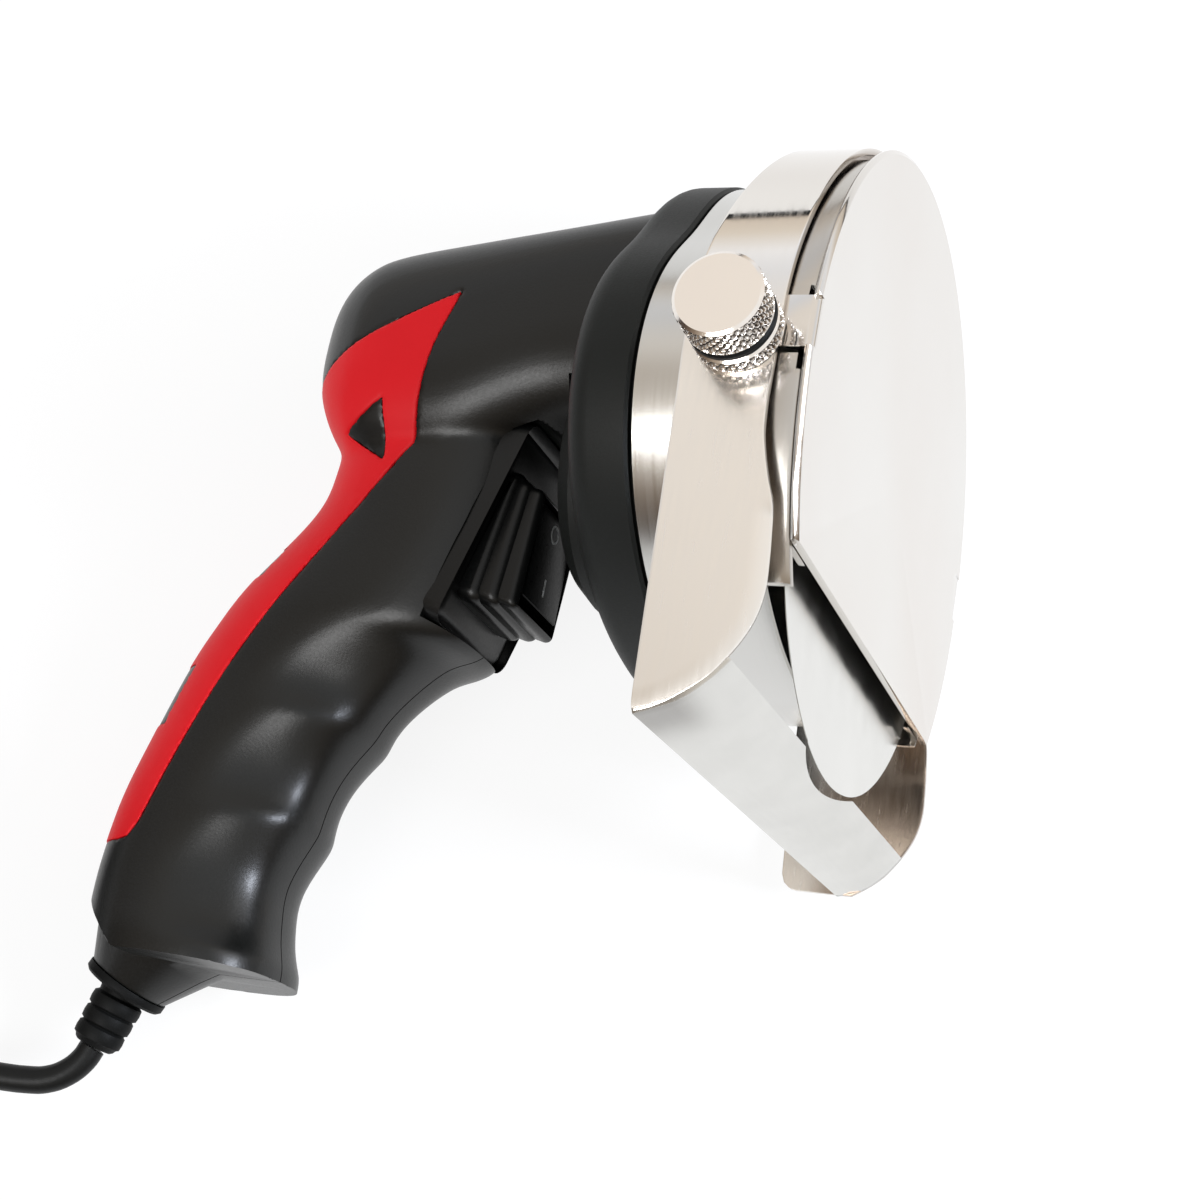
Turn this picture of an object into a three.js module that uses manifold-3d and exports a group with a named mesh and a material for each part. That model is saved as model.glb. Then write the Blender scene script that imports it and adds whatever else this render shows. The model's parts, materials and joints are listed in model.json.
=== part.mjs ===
// Electric kebab slicer: a hand-held round knife with a pistol grip, a thickness guide and a mains cord.
// Millimetres. In the tool's own axes X points forward along the blade axis, Y to the left and Z up.
import * as THREE from 'three';
import { mergeVertices } from 'three/addons/utils/BufferGeometryUtils.js';
import Module from 'manifold-3d';

const wasm = await Module();
wasm.setup();

// Fits shared by the pieces
const GAP = 0.3;
const SHEET = 1.0;
const ROUND = 32;
// Reach of the cutting bodies, past every piece
const FAR = 200;

// Blade and its drive, all round the blade axis
const BLADE_R = 50;
const BLADE_T = 1.2;
const BLADE_X = -3.6;
const BLADE_BEVEL = 3.5;
const BLADE_EDGE = 0.15;
const BLADE_ROOM = 2.6;
const SPINDLE_R = 5;
const HUB_R = 15;
const HUB_T = 3;
const SCREW_R = 8;
const SCREW_T = 1.4;
const SCREW_CHAMFER = 1;
const SCREW_LIFT = 0.1;
const SCREW_SLOT_DEEP = 0.6;
const SCREW_SLOT_HALF = 0.8;
const SCREW_SHANK_R = 2.2;
const SCREW_SHANK = 6;
const SCREW_SPARE = 1;
const BEARING_R = 11;
const BEARING_T = 5;

// Front cover: plate and skirt
const SKIRT_R = BLADE_R + BLADE_ROOM + SHEET;
const COVER_LIP = 1.4;
const COVER_R = SKIRT_R + COVER_LIP;
const COVER_T = 1.2;
const COVER_EDGE = 0.4;
const COVER_CUT_Z = -27.4;
const SKIRT_BACK_X = -9.2;
const SKIRT_FLANGE = 7;
const SKIRT_END_Z = -33;
const LUG_ANGLE = 4;
const LUG_HALF = 4.4;
const LUG_H = 1.6;
const TWIST = 5;
const LUG_PLAY = 0.5;
const LUG_LONG = 1.6;

// Head ring, collar and the boss behind it
const HEAD_R = SKIRT_R - SHEET - GAP - LUG_H;
const HEAD_FLANGE_R = SKIRT_R - SHEET;
const HEAD_WALL = 4;
const HEAD_FLOOR = 4;
const HEAD_FRONT_X = -6.5;
const HEAD_SHOULDER_X = -14;
const HEAD_BACK_X = -27.5;
const HEAD_HUB_R = 16;
const HEAD_HUB_X = HEAD_FRONT_X - 3;
const SPINDLE_ROOM = 1.2;
const COLLAR_LIP = 0.4;
const COLLAR_R = HEAD_FLANGE_R + COLLAR_LIP;
const COLLAR_WALL = 4;
const COLLAR_FLOOR = 3;
const COLLAR_FRONT_X = HEAD_BACK_X - GAP;
const COLLAR_BACK_X = -38.5;
const COLLAR_ROUND = 4.5;

// Gear case of head ring and collar: a round part that takes in the motor's shaft, and a wide oval with the guide's
// clamps at its sides, whose lower edge leaves the blade free to cut
const CASE_R = 43;
const CASE_LIFT = 8;
const CASE_DEEP = 38;
const CASE_BLEND = 30;
const CASE_POINTS = 56;
const BOSS_R = 19.5;
const BOSS_BACK_X = -50;
const BOSS_ROUND = 3;
const BOSS_FLOOR = 4;

// Gears: module 1, on the shared centre distance
const GEAR_TEETH = 38;
const PINION_TEETH = 9;
const MODULE = 1;
const CENTRE = (GEAR_TEETH + PINION_TEETH) / 2 * MODULE;
const TOOTH_ADDENDUM = 0.8;
const TOOTH_ROOT = 1.1;
const GEAR_X0 = -34.6;
const GEAR_X1 = -29.4;

// Motor, on its own axis above the blade axis
const MOTOR_R = 13.6;
const MOTOR_WALL = 1.5;
const MOTOR_X1 = -51;
const MOTOR_X0 = -88;
const MAGNET_T = 2;
const ROTOR_R = 9;
const SHAFT_R = 2;
const BUSH_R = 5;
const COMMUTATOR_R = 5;
const CAP_T = 3;
const MAGNET_FRONT = 4;
const MAGNET_BACK = 26;
const ROTOR_SLOTS = 5;
const ROTOR_SLOT_R = 2;
const BAR_GAP = 1.5;
const BAR_LONG = 5.5;
const BUSH_OUT = 2.6;
const BRUSH_IN = 0.8;
const BRUSH_HALF = 1.8;

// Housing halves
const BARREL_HALF = 23;
const GRIP_HALF = 16;
const WALL = 2.6;
const SPLIT = 0.15;
const INLAY_T = 1.6;
const HOUSING_FRONT_X = COLLAR_BACK_X - GAP;
const BASE_Z = -92.6;

// Switch: places along and out of its sloping panel
const SWITCH_AT = new THREE.Vector2(-69.4, -12.9);
const PANEL_LEAN = Math.atan2(0.28, 0.96);
const BEZEL_HALF_LONG = 18;
const BEZEL_HALF_WIDE = 12;
const BEZEL_T = 2.4;
const PANEL_PLAY = 0.5;
const PANEL_ROOM = 40;
const STEP_INS = [2.2, 3];
const STEP_LIPS = [[3.6, 6.8], [4.8, 10.2]];
const STEP_SIDES = [1.4, 2.4];
const SWITCH_DEEP = 11;
const SWITCH_HALF_LONG = 12.6;
const SWITCH_HALF_WIDE = 8.4;
const TERMINAL_HALF = 2.4;
const TERMINAL_LONG = 6;
const TERMINAL_HALF_T = 0.4;
const TERMINAL_AT = 6;
const ROCKER_HALF_LONG = 12;
const ROCKER_HALF_WIDE = 8;
const ROCKER_PLAY = 0.5;
const OPENING_HALF_LONG = 13.6;

// Thickness guide
const HOOD_ROOM = 0.8;
const HOOD_R = SKIRT_R + HOOD_ROOM + SHEET;
const HOOD_FRONT_X = -5.2;
const GUIDE_BACK_X = -19.2;
const ARM_DROP = 1.6;
const ARM_BACK_X = -17.2;
const ARM_LOW_Z = -HOOD_R - ARM_DROP;
const GUIDE_TRAVEL = 2.5;
const SCOOP_FRONT_X = -5.4;
const NOTCH_HALF = 17;
const NOTCH_DEEP = 4.5;

// Clamp knob on the right and the plain pin on the left
const KNOB_R = 7.4;
const KNOB_FOOT_R = 7.2;
const KNOB_H = 6;
const KNOB_FACE_T = 2;
const KNURL_DEEP = 0.4;
const KNURLS = 20;
const WASHER_H = 1.6;
const WASHER_IN = 1.2;
const FOOT_H = 3.4;
const STUD_R = 1.5;
const STUD_DEEP = 13;
const KNOB_X = SKIRT_BACK_X - GAP - STUD_R;
const PIN_DEEP = 11;

// Cord and strain relief
const CORD_R = 2.5;
const CORD_SIDES = 10;

// Lying on its left side: nose turned up from the table, then the whole tool rolled over
const LIE_TURN = -26.567;
const LIE_ROLL = -93.177;
const LIE_AT = new THREE.Vector2(47.2825, 27.6858);

// Colour, roughness and metalness of each finish
const FINISHES = {
  black: { color: 0x2b2c2b, roughness: 0.5, metalness: 0 },
  red: { color: 0xd9151f, roughness: 0.5, metalness: 0 },
  steel: { color: 0xe2e0dc, roughness: 0.1, metalness: 1 },
  aluminium: { color: 0xc4c4c0, roughness: 0.3, metalness: 1 },
  rubber: { color: 0x161616, roughness: 0.6, metalness: 0 },
  brass: { color: 0xb08d45, roughness: 0.3, metalness: 1 },
  copper: { color: 0xa5643a, roughness: 0.35, metalness: 1 },
  iron: { color: 0x55565a, roughness: 0.4, metalness: 1 },
  board: { color: 0x2f5a3a, roughness: 0.5, metalness: 0 },
};

const group = new THREE.Group();
group.name = 'kebab_slicer';
const tool = new THREE.Group();
tool.name = 'tool';
group.add(tool);

// A closed solid from a three.js geometry, with its faces turned outward
function solid(geometry) {
  const bare = geometry.clone();
  bare.deleteAttribute('normal');
  bare.deleteAttribute('uv');
  const merged = mergeVertices(bare, 1e-4);
  const position = merged.attributes.position.array;
  const source = merged.index.array;
  const triangles = [];
  let volume = 0;
  const a = new THREE.Vector3();
  const b = new THREE.Vector3();
  const c = new THREE.Vector3();
  for (let i = 0; i < source.length; i += 3) {
    const [p, q, r] = [source[i], source[i + 1], source[i + 2]];
    if (p === q || q === r || r === p) continue;
    triangles.push(p, q, r);
    a.fromArray(position, 3 * p);
    b.fromArray(position, 3 * q);
    c.fromArray(position, 3 * r);
    volume += a.dot(b.cross(c));
  }
  if (volume < 0) {
    for (let i = 0; i < triangles.length; i += 3) {
      [triangles[i], triangles[i + 1]] = [triangles[i + 1], triangles[i]];
    }
  }
  return new wasm.Manifold(new wasm.Mesh({
    numProp: 3,
    vertProperties: new Float32Array(position),
    triVerts: new Uint32Array(triangles),
  }));
}

function addPiece(name, body, finish, parent = tool) {
  const out = body.getMesh();
  const geometry = new THREE.BufferGeometry();
  const points = new Float32Array(out.vertProperties.length / out.numProp * 3);
  for (let i = 0; i < points.length / 3; i += 1) {
    for (let k = 0; k < 3; k += 1) points[3 * i + k] = out.vertProperties[out.numProp * i + k];
  }
  geometry.setAttribute('position', new THREE.BufferAttribute(points, 3));
  geometry.setIndex(new THREE.BufferAttribute(new Uint32Array(out.triVerts), 1));
  geometry.computeVertexNormals();
  const mesh = new THREE.Mesh(geometry, new THREE.MeshStandardMaterial(finish));
  mesh.name = name;
  parent.add(mesh);
  return mesh;
}

// The main body of a cut solid, without slivers that the cut left beside it
function largest(body) {
  return body.decompose().reduce((most, part) => (part.volume() > most.volume() ? part : most));
}

// Box between two corners
function box(x0, x1, y0, y1, z0, z1) {
  const geometry = new THREE.BoxGeometry(x1 - x0, y1 - y0, z1 - z0);
  geometry.translate((x0 + x1) / 2, (y0 + y1) / 2, (z0 + z1) / 2);
  return solid(geometry);
}

// Turned body round the X axis: points are [x, radius], joined into a closed loop
function turned(points, segments = ROUND, y = 0, z = 0) {
  const loop = points.map(([x, r]) => new THREE.Vector2(r, x));
  if (loop[0].x > 0 || loop[loop.length - 1].x > 0) loop.push(loop[0].clone());
  const geometry = new THREE.LatheGeometry(loop, segments);
  geometry.rotateZ(-Math.PI / 2);
  geometry.translate(0, y, z);
  return solid(geometry);
}

function rodX(x0, x1, radius, y = 0, z = 0, segments = 32) {
  return turned([[x0, 0], [x0, radius], [x1, radius], [x1, 0]], segments, y, z);
}

function ringX(x0, x1, inner, outer, y = 0, z = 0, segments = ROUND) {
  return turned([[x0, inner], [x0, outer], [x1, outer], [x1, inner]], segments, y, z);
}

// Rod along Y at a place in the XZ plane
function rodY(y0, y1, radius, x, z, segments = 24) {
  const geometry = new THREE.CylinderGeometry(radius, radius, y1 - y0, segments);
  geometry.translate(x, (y0 + y1) / 2, z);
  return solid(geometry);
}

// Prism across the tool: an outline in X and Z, pushed out to both sides of the middle plane
function acrossY(shape, half, curve = 8) {
  const depth = 2 * half;
  const geometry = new THREE.ExtrudeGeometry(shape, { depth, bevelEnabled: false, curveSegments: curve });
  geometry.translate(0, 0, -half);
  geometry.rotateX(Math.PI / 2);
  return solid(geometry);
}

// Skin over a row of rings with equally many points, closed by a fan at each end
function loft(rings) {
  const count = rings[0].length;
  const points = rings.flat();
  const triangles = [];
  for (let i = 0; i + 1 < rings.length; i += 1) {
    for (let k = 0; k < count; k += 1) {
      const here = i * count + k;
      const next = i * count + (k + 1) % count;
      triangles.push(here, next, here + count, next, next + count, here + count);
    }
  }
  const last = (rings.length - 1) * count;
  const middle = (ring) => ring.reduce((sum, p) => sum.add(p), new THREE.Vector3()).divideScalar(count);
  points.push(middle(rings[0]), middle(rings[rings.length - 1]));
  for (let k = 0; k < count; k += 1) {
    const next = (k + 1) % count;
    triangles.push(next, k, points.length - 2);
    triangles.push(last + k, last + next, points.length - 1);
  }
  const geometry = new THREE.BufferGeometry().setFromPoints(points);
  geometry.setIndex(triangles);
  return solid(geometry);
}

// Rounded ring between two points of the middle plane, reaching out to both sides
function sectionRing(a, b, half, squareness, count) {
  const centre = a.clone().add(b).divideScalar(2);
  const reach = b.clone().sub(a).divideScalar(2);
  const power = (value) => Math.sign(value) * Math.abs(value) ** (2 / squareness);
  const ring = [];
  for (let k = 0; k < count; k += 1) {
    const angle = k / count * 2 * Math.PI;
    const along = power(Math.cos(angle));
    const aside = half * power(Math.sin(angle));
    ring.push(new THREE.Vector3(centre.x + along * reach.x, aside, centre.y + along * reach.y));
  }
  return ring;
}

function outline(points) {
  return new THREE.Shape(points.map(([x, z]) => new THREE.Vector2(x, z)));
}

// Prism along X: an outline in Y and Z between two places
function alongX(shape, x0, x1, curve = 24) {
  const depth = x1 - x0;
  const geometry = new THREE.ExtrudeGeometry(shape, { depth, bevelEnabled: false, curveSegments: curve });
  geometry.rotateY(Math.PI / 2);
  geometry.rotateX(Math.PI / 2);
  geometry.translate(x0, 0, 0);
  return solid(geometry);
}

// Toothed wheel on the X axis, with straight-sided teeth a little thinner than their gaps
function toothed(teeth, x0, x1, phase, y, z) {
  const pitch = teeth * MODULE / 2;
  const shape = new THREE.Shape();
  const places = [[-0.28, -TOOTH_ROOT], [-0.1, TOOTH_ADDENDUM], [0.1, TOOTH_ADDENDUM], [0.28, -TOOTH_ROOT]];
  for (let i = 0; i < teeth; i += 1) {
    for (const [part, out] of places) {
      const angle = (i + part + phase) * 2 * Math.PI / teeth;
      const radius = pitch + out;
      const at = [radius * Math.cos(angle), radius * Math.sin(angle)];
      if (i === 0 && part === places[0][0]) shape.moveTo(...at);
      else shape.lineTo(...at);
    }
  }
  return alongX(shape, x0, x1).translate([0, y, z]);
}

// Stations of barrel and grip: two points of the outline, each as X and Z, and the half width there
const BARREL_STATIONS = [
  [-38.8, 48, -38.8, 3, BARREL_HALF],
  [-56, 45, -56, 3.4, BARREL_HALF],
  [-74, 42.4, -74, -4, BARREL_HALF],
  [-90, 39.8, -90, -5, BARREL_HALF - 0.6],
  [-96.8, 37.8, -96.8, -3, BARREL_HALF - 2.4],
  [-101.8, 34, -101.4, 2.4, BARREL_HALF - 6],
  [-105.2, 29, -104.8, 8.6, BARREL_HALF - 11.5],
  [-106.8, 23, -106.8, 14.4, BARREL_HALF - 18.5],
];
const GRIP_STATIONS = [
  [-95, 14, -62, 10, GRIP_HALF + 2],
  [-98.9, 0, -60, -4, GRIP_HALF + 2],
  [-101.2, -11, -62, -18, GRIP_HALF + 1.5],
  [-111.6, -26, -65.8, -31.6, GRIP_HALF + 1],
  [-116, -33.8, -73, -37, GRIP_HALF + 0.5],
  [-119.6, -41.8, -81.5, -45.7, GRIP_HALF],
  [-123.8, -55.2, -87.6, -55.5, GRIP_HALF - 0.2],
  [-127, -66.2, -90.1, -65.3, GRIP_HALF - 0.2],
  [-128.2, -77, -92.8, -75.5, GRIP_HALF],
  [-128.2, -84, -92.4, -83, GRIP_HALF + 0.4],
  [-127.4, -88.2, -91.3, -88.4, GRIP_HALF + 0.8],
  [-126.2, -90.6, -91.6, -92.4, GRIP_HALF - 0.2],
];
const RING_POINTS = 16;
const BARREL_SQUARENESS = 3;
const GRIP_SQUARENESS = 2.6;

// Smooth body through stations, with its skin moved inward by the inset
function stationBody(stations, inset, squareness, stepsEach) {
  const upper = new THREE.SplineCurve(stations.map(([x, z]) => new THREE.Vector2(x, z)));
  const lower = new THREE.SplineCurve(stations.map((s) => new THREE.Vector2(s[2], s[3])));
  const width = new THREE.SplineCurve(stations.map((s, i) => new THREE.Vector2(i, s[4])));
  const steps = stepsEach * (stations.length - 1);
  const rings = [];
  for (let i = 0; i <= steps; i += 1) {
    const a = upper.getPoint(i / steps);
    const b = lower.getPoint(i / steps);
    const inward = b.clone().sub(a).setLength(inset);
    const half = width.getPoint(i / steps).y - inset;
    rings.push(sectionRing(a.add(inward), b.sub(inward), half, squareness, RING_POINTS));
  }
  return loft(rings);
}

// The room in front of the switch panel, between the barrel and the nose of the grip
function panelRoom(inset) {
  const top = -BEZEL_HALF_LONG - PANEL_PLAY - inset;
  const low = BEZEL_HALF_LONG + PANEL_PLAY + inset;
  return panelBody([[top, -inset], [top, PANEL_ROOM], [low, PANEL_ROOM], [low, -inset]], PANEL_ROOM);
}

function housingBody(inset) {
  const stepsEach = inset > 0 ? 1 : 2;
  const barrel = stationBody(BARREL_STATIONS, inset, BARREL_SQUARENESS, stepsEach);
  const grip = stationBody(GRIP_STATIONS, inset, GRIP_SQUARENESS, stepsEach);
  const ends = box(-FAR, HOUSING_FRONT_X, -FAR, FAR, BASE_Z + inset, FAR);
  return barrel.add(grip).subtract(panelRoom(inset)).intersect(ends);
}

// Area of the red inlay, seen from the side
function inlayShape(grow) {
  const shape = new THREE.Shape();
  shape.moveTo(-77 + grow, 26.5 + 1.2 * grow);
  shape.lineTo(-118, 11 + 1.2 * grow);
  shape.lineTo(-140, -40);
  shape.lineTo(-140, -72 - grow);
  shape.lineTo(-117 + grow, -72 - grow);
  shape.bezierCurveTo(-113 + grow, -56, -108 + grow, -43, -100.5 + grow, -30);
  shape.bezierCurveTo(-94 + grow, -19, -85 + grow, -9, -81 + grow, -3);
  shape.bezierCurveTo(-79 + grow, 2, -81 + grow, 8, -80 + grow, 15);
  return shape;
}

function triangleBody(grow) {
  const points = [[-86.4 + grow, 6.5 + 1.6 * grow], [-93 - 1.6 * grow, -1], [-84.8 + grow, -6 - 1.6 * grow]];
  return acrossY(outline(points), BARREL_HALF + SHEET);
}

// Windows in the spine of the inlay: places along Z
const SPINE_WINDOWS = [[-25, -19.5], [-53, -42]];
const SPINE_HALF = 5;
const SPINE_FRONT_X = -100;

function spineWindows(grow) {
  const [first, second] = SPINE_WINDOWS.map(([z0, z1]) => box(
    -FAR, SPINE_FRONT_X, -SPINE_HALF - grow, SPINE_HALF + grow, z0 - grow, z1 + grow,
  ));
  return first.add(second);
}

// A point of the switch panel: along it, downward, and out of it
function onPanel(along, out) {
  const down = new THREE.Vector2(-Math.sin(PANEL_LEAN), -Math.cos(PANEL_LEAN));
  const away = new THREE.Vector2(Math.cos(PANEL_LEAN), -Math.sin(PANEL_LEAN));
  const at = SWITCH_AT.clone().addScaledVector(down, along).addScaledVector(away, out);
  return [at.x, at.y];
}

function panelBody(points, half) {
  return acrossY(outline(points.map(([along, out]) => onPanel(along, out))), half);
}

// Screws that hold the halves together, put in from the left
const HOUSING_SCREWS = [[-96, 31], [-58, 41], [-91, -29], [-104, -62], [-101, -83]];
const HOUSING_SCREW_R = 1.6;
const HOUSING_SCREW_HEAD_R = 3;
const HOUSING_SCREW_HEAD_H = 2.4;
const HOUSING_SCREW_SINK = 2;
const HOUSING_SCREW_END = 7;
const HOUSING_SCREW_SPARE = 2;
const HOUSING_POST_R = 3.4;
const SHAFT_ROOM = 1;

// Hole in the panel for the switch body
function switchHole() {
  const long = SWITCH_HALF_LONG + PANEL_PLAY;
  const deep = SWITCH_DEEP + PANEL_PLAY;
  return panelBody([[-long, -deep], [-long, BEZEL_T], [long, BEZEL_T], [long, -deep]], SWITCH_HALF_WIDE + PANEL_PLAY);
}

function makeHousing() {
  const outer = housingBody(0);
  let shell = outer.subtract(housingBody(WALL));
  for (const [x, z] of HOUSING_SCREWS) {
    shell = shell.add(rodY(-BARREL_HALF, BARREL_HALF, HOUSING_POST_R, x, z, 12).intersect(housingBody(SHEET)));
  }
  const area = acrossY(inlayShape(GAP), BARREL_HALF + SHEET, 5).subtract(triangleBody(0));
  const recess = area.subtract(spineWindows(0)).subtract(housingBody(INLAY_T + GAP));
  shell = shell.subtract(recess);
  shell = shell.subtract(rodX(BOSS_BACK_X - SHEET, COLLAR_FRONT_X, BOSS_R + GAP, 0, 0, ROUND));
  shell = shell.subtract(rodX(MOTOR_X1 - SHEET, COLLAR_FRONT_X, BUSH_R + SHAFT_ROOM, 0, CENTRE));
  shell = shell.subtract(switchHole());
  shell = shell.add(placeRelief(rodX(-9, 0.2, RELIEF_FLANGE_R, 0, 0, 16))).subtract(reliefSeat());
  for (const [x, z] of HOUSING_SCREWS) {
    const wide = halfWidthAt(outer, x, z);
    const seat = wide - HOUSING_SCREW_SINK - HOUSING_SCREW_HEAD_H - 2 * GAP;
    const end = HOUSING_SCREW_END - HOUSING_SCREW_SPARE - wide;
    shell = shell.subtract(rodY(end, FAR, HOUSING_SCREW_R + GAP, x, z, 12));
    shell = shell.subtract(rodY(seat, FAR, HOUSING_SCREW_HEAD_R + GAP, x, z, 12));
  }
  addPiece('housing_right', largest(shell.intersect(box(-FAR, FAR, -FAR, -SPLIT, -FAR, FAR))), FINISHES.black);
  addPiece('housing_left', largest(shell.intersect(box(-FAR, FAR, SPLIT, FAR, -FAR, FAR))), FINISHES.black);
  const inlayArea = acrossY(inlayShape(0), BARREL_HALF + SHEET, 5).subtract(triangleBody(GAP));
  const inlay = outer.subtract(housingBody(INLAY_T)).intersect(inlayArea).subtract(spineWindows(GAP));
  addPiece('grip_inlay', largest(inlay), FINISHES.red);
  HOUSING_SCREWS.forEach(([x, z], i) => {
    const wide = halfWidthAt(outer, x, z);
    const top = wide - HOUSING_SCREW_SINK;
    const head = rodY(top - HOUSING_SCREW_HEAD_H, top, HOUSING_SCREW_HEAD_R, x, z, 12);
    const shank = rodY(HOUSING_SCREW_END - wide, top - HOUSING_SCREW_HEAD_H / 2, HOUSING_SCREW_R, x, z, 8);
    addPiece(`housing_screw_${i + 1}`, head.add(shank), FINISHES.iron);
  });
}

// Half width of a body at a place in the XZ plane
function halfWidthAt(body, x, z) {
  const probe = rodY(-2 * BARREL_HALF, 2 * BARREL_HALF, HOUSING_SCREW_R, x, z, 8);
  return probe.intersect(body).boundingBox().max[1];
}

// Reach of the gear case from the blade axis, at an angle from +Y towards +Z
function caseReach(angle) {
  const [aside, up] = [Math.cos(angle), Math.sin(angle)];
  const round = CASE_LIFT * up + Math.sqrt(CASE_R ** 2 - (CASE_LIFT * aside) ** 2);
  const oval = 1 / Math.hypot(aside / COLLAR_R, up / CASE_DEEP);
  return (round ** CASE_BLEND + oval ** CASE_BLEND) ** (1 / CASE_BLEND);
}

// Body with the outline of the gear case: rings are places along X, each with how far it stays inside
function caseBody(rings) {
  return loft(rings.map(([x, inset]) => {
    const ring = [];
    for (let k = 0; k < CASE_POINTS; k += 1) {
      const angle = k / CASE_POINTS * 2 * Math.PI;
      const reach = caseReach(angle) - inset;
      ring.push(new THREE.Vector3(x, reach * Math.cos(angle), reach * Math.sin(angle)));
    }
    return ring;
  }));
}

function makeCollar() {
  const r = COLLAR_ROUND;
  const shoulder = [];
  for (let i = 0; i <= 3; i += 1) {
    const angle = i / 3 * Math.PI / 2;
    shoulder.push([COLLAR_BACK_X + r - r * Math.cos(angle), r - r * Math.sin(angle)]);
  }
  const hollow = caseBody([[COLLAR_BACK_X + COLLAR_FLOOR, COLLAR_WALL], [COLLAR_FRONT_X + SHEET, COLLAR_WALL]]);
  const ring = caseBody([...shoulder, [COLLAR_FRONT_X, 0]]).subtract(hollow);
  const boss = turned([
    [BOSS_BACK_X, 0],
    [BOSS_BACK_X, BOSS_R - BOSS_ROUND],
    [BOSS_BACK_X + BOSS_ROUND, BOSS_R],
    [COLLAR_BACK_X + SHEET, BOSS_R],
    [COLLAR_BACK_X + SHEET, 0],
  ]);
  const bearingSeat = rodX(BOSS_BACK_X + BOSS_FLOOR, COLLAR_FRONT_X, BEARING_R + GAP);
  const shaftHole = rodX(-FAR, COLLAR_FRONT_X, BUSH_R + SHAFT_ROOM, 0, CENTRE);
  let collar = ring.add(boss).subtract(bearingSeat).subtract(shaftHole);
  for (const [y, z] of collarScrewPlaces()) {
    const seat = COLLAR_BACK_X + HOUSING_SCREW_HEAD_H + GAP;
    collar = collar.add(rodX(COLLAR_BACK_X + SHEET, COLLAR_FRONT_X, COLLAR_POST_R, y, z, 12));
    collar = collar.subtract(rodX(-FAR, FAR, HOUSING_SCREW_R + GAP, y, z, 10));
    collar = collar.subtract(rodX(-FAR, seat, HOUSING_SCREW_HEAD_R + GAP, y, z, 12));
  }
  addPiece('collar', collar, FINISHES.black);
}

const COLLAR_POST_R = 4;
const COLLAR_SCREW_IN = 7;
const COLLAR_SCREW_BITE = 3.2;
const COLLAR_SCREW_ANGLES = [200, 270, 340];

function collarScrewPlaces() {
  return COLLAR_SCREW_ANGLES.map((degrees) => {
    const angle = degrees * Math.PI / 180;
    const reach = caseReach(angle) - COLLAR_SCREW_IN;
    return [reach * Math.cos(angle), reach * Math.sin(angle)];
  });
}

function makeCollarScrews() {
  collarScrewPlaces().forEach(([y, z], i) => {
    const seat = COLLAR_BACK_X + HOUSING_SCREW_HEAD_H;
    const head = rodX(COLLAR_BACK_X + GAP, seat, HOUSING_SCREW_HEAD_R, y, z, 12);
    const shank = rodX(COLLAR_BACK_X + SHEET, HEAD_BACK_X + COLLAR_SCREW_BITE, HOUSING_SCREW_R, y, z, 8);
    addPiece(`collar_screw_${i + 1}`, head.add(shank), FINISHES.iron);
  });
}

// Part of a ring round the blade axis, between two angles in degrees from +Y towards +Z
function ringPart(x0, x1, inner, outer, from, to) {
  const shape = new THREE.Shape();
  const [a, b] = [from * Math.PI / 180, to * Math.PI / 180];
  shape.absarc(0, 0, outer, a, b, false);
  shape.absarc(0, 0, inner, b, a, true);
  return alongX(shape, x0, x1, 6);
}

const LUG_CENTRES = [180 - LUG_ANGLE, 360 - LUG_ANGLE];

function makeHeadRing() {
  const flange = caseBody([[HEAD_BACK_X, COLLAR_LIP], [HEAD_SHOULDER_X, COLLAR_LIP]]);
  const front = caseBody([[HEAD_SHOULDER_X - SHEET, COLLAR_LIP], [HEAD_FRONT_X, COLLAR_LIP]]);
  const hollow = caseBody([
    [HEAD_BACK_X + HEAD_FLOOR, COLLAR_LIP + HEAD_WALL],
    [HEAD_FRONT_X + SHEET, COLLAR_LIP + HEAD_WALL],
  ]);
  let cup = flange.add(front.intersect(rodX(-FAR, FAR, HEAD_R, 0, 0, ROUND)));
  cup = cup.subtract(hollow.intersect(rodX(-FAR, FAR, HEAD_R - HEAD_WALL, 0, 0, ROUND)));
  cup = cup.add(rodX(HEAD_BACK_X, HEAD_HUB_X, HEAD_HUB_R));
  for (const centre of LUG_CENTRES) {
    const lug = ringPart(
      HEAD_FRONT_X - LUG_LONG, HEAD_FRONT_X, HEAD_R - SHEET, HEAD_R + LUG_H + SHEET,
      centre - LUG_HALF, centre + LUG_HALF,
    );
    cup = cup.add(lug);
  }
  cup = cup.subtract(rodX(-FAR, FAR, SPINDLE_R + SPINDLE_ROOM, 0, 0, 40));
  cup = cup.subtract(rodX(HEAD_HUB_X - BEARING_T, FAR, BEARING_R + GAP, 0, 0, 48));
  for (const [y, z] of collarScrewPlaces()) {
    const end = HEAD_BACK_X + COLLAR_SCREW_BITE + GAP;
    cup = cup.subtract(rodX(-FAR, end, HOUSING_SCREW_R + GAP, y, z, 10));
  }
  const studHole = rodY(-FAR, STUD_DEEP - HEAD_R, STUD_R + GAP, KNOB_X, 0, 12);
  const pinHole = rodY(HEAD_R - STUD_DEEP, FAR, STUD_R + GAP, KNOB_X, 0, 12);
  addPiece('head_ring', cup.subtract(studHole).subtract(pinHole), FINISHES.aluminium);
}

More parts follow.
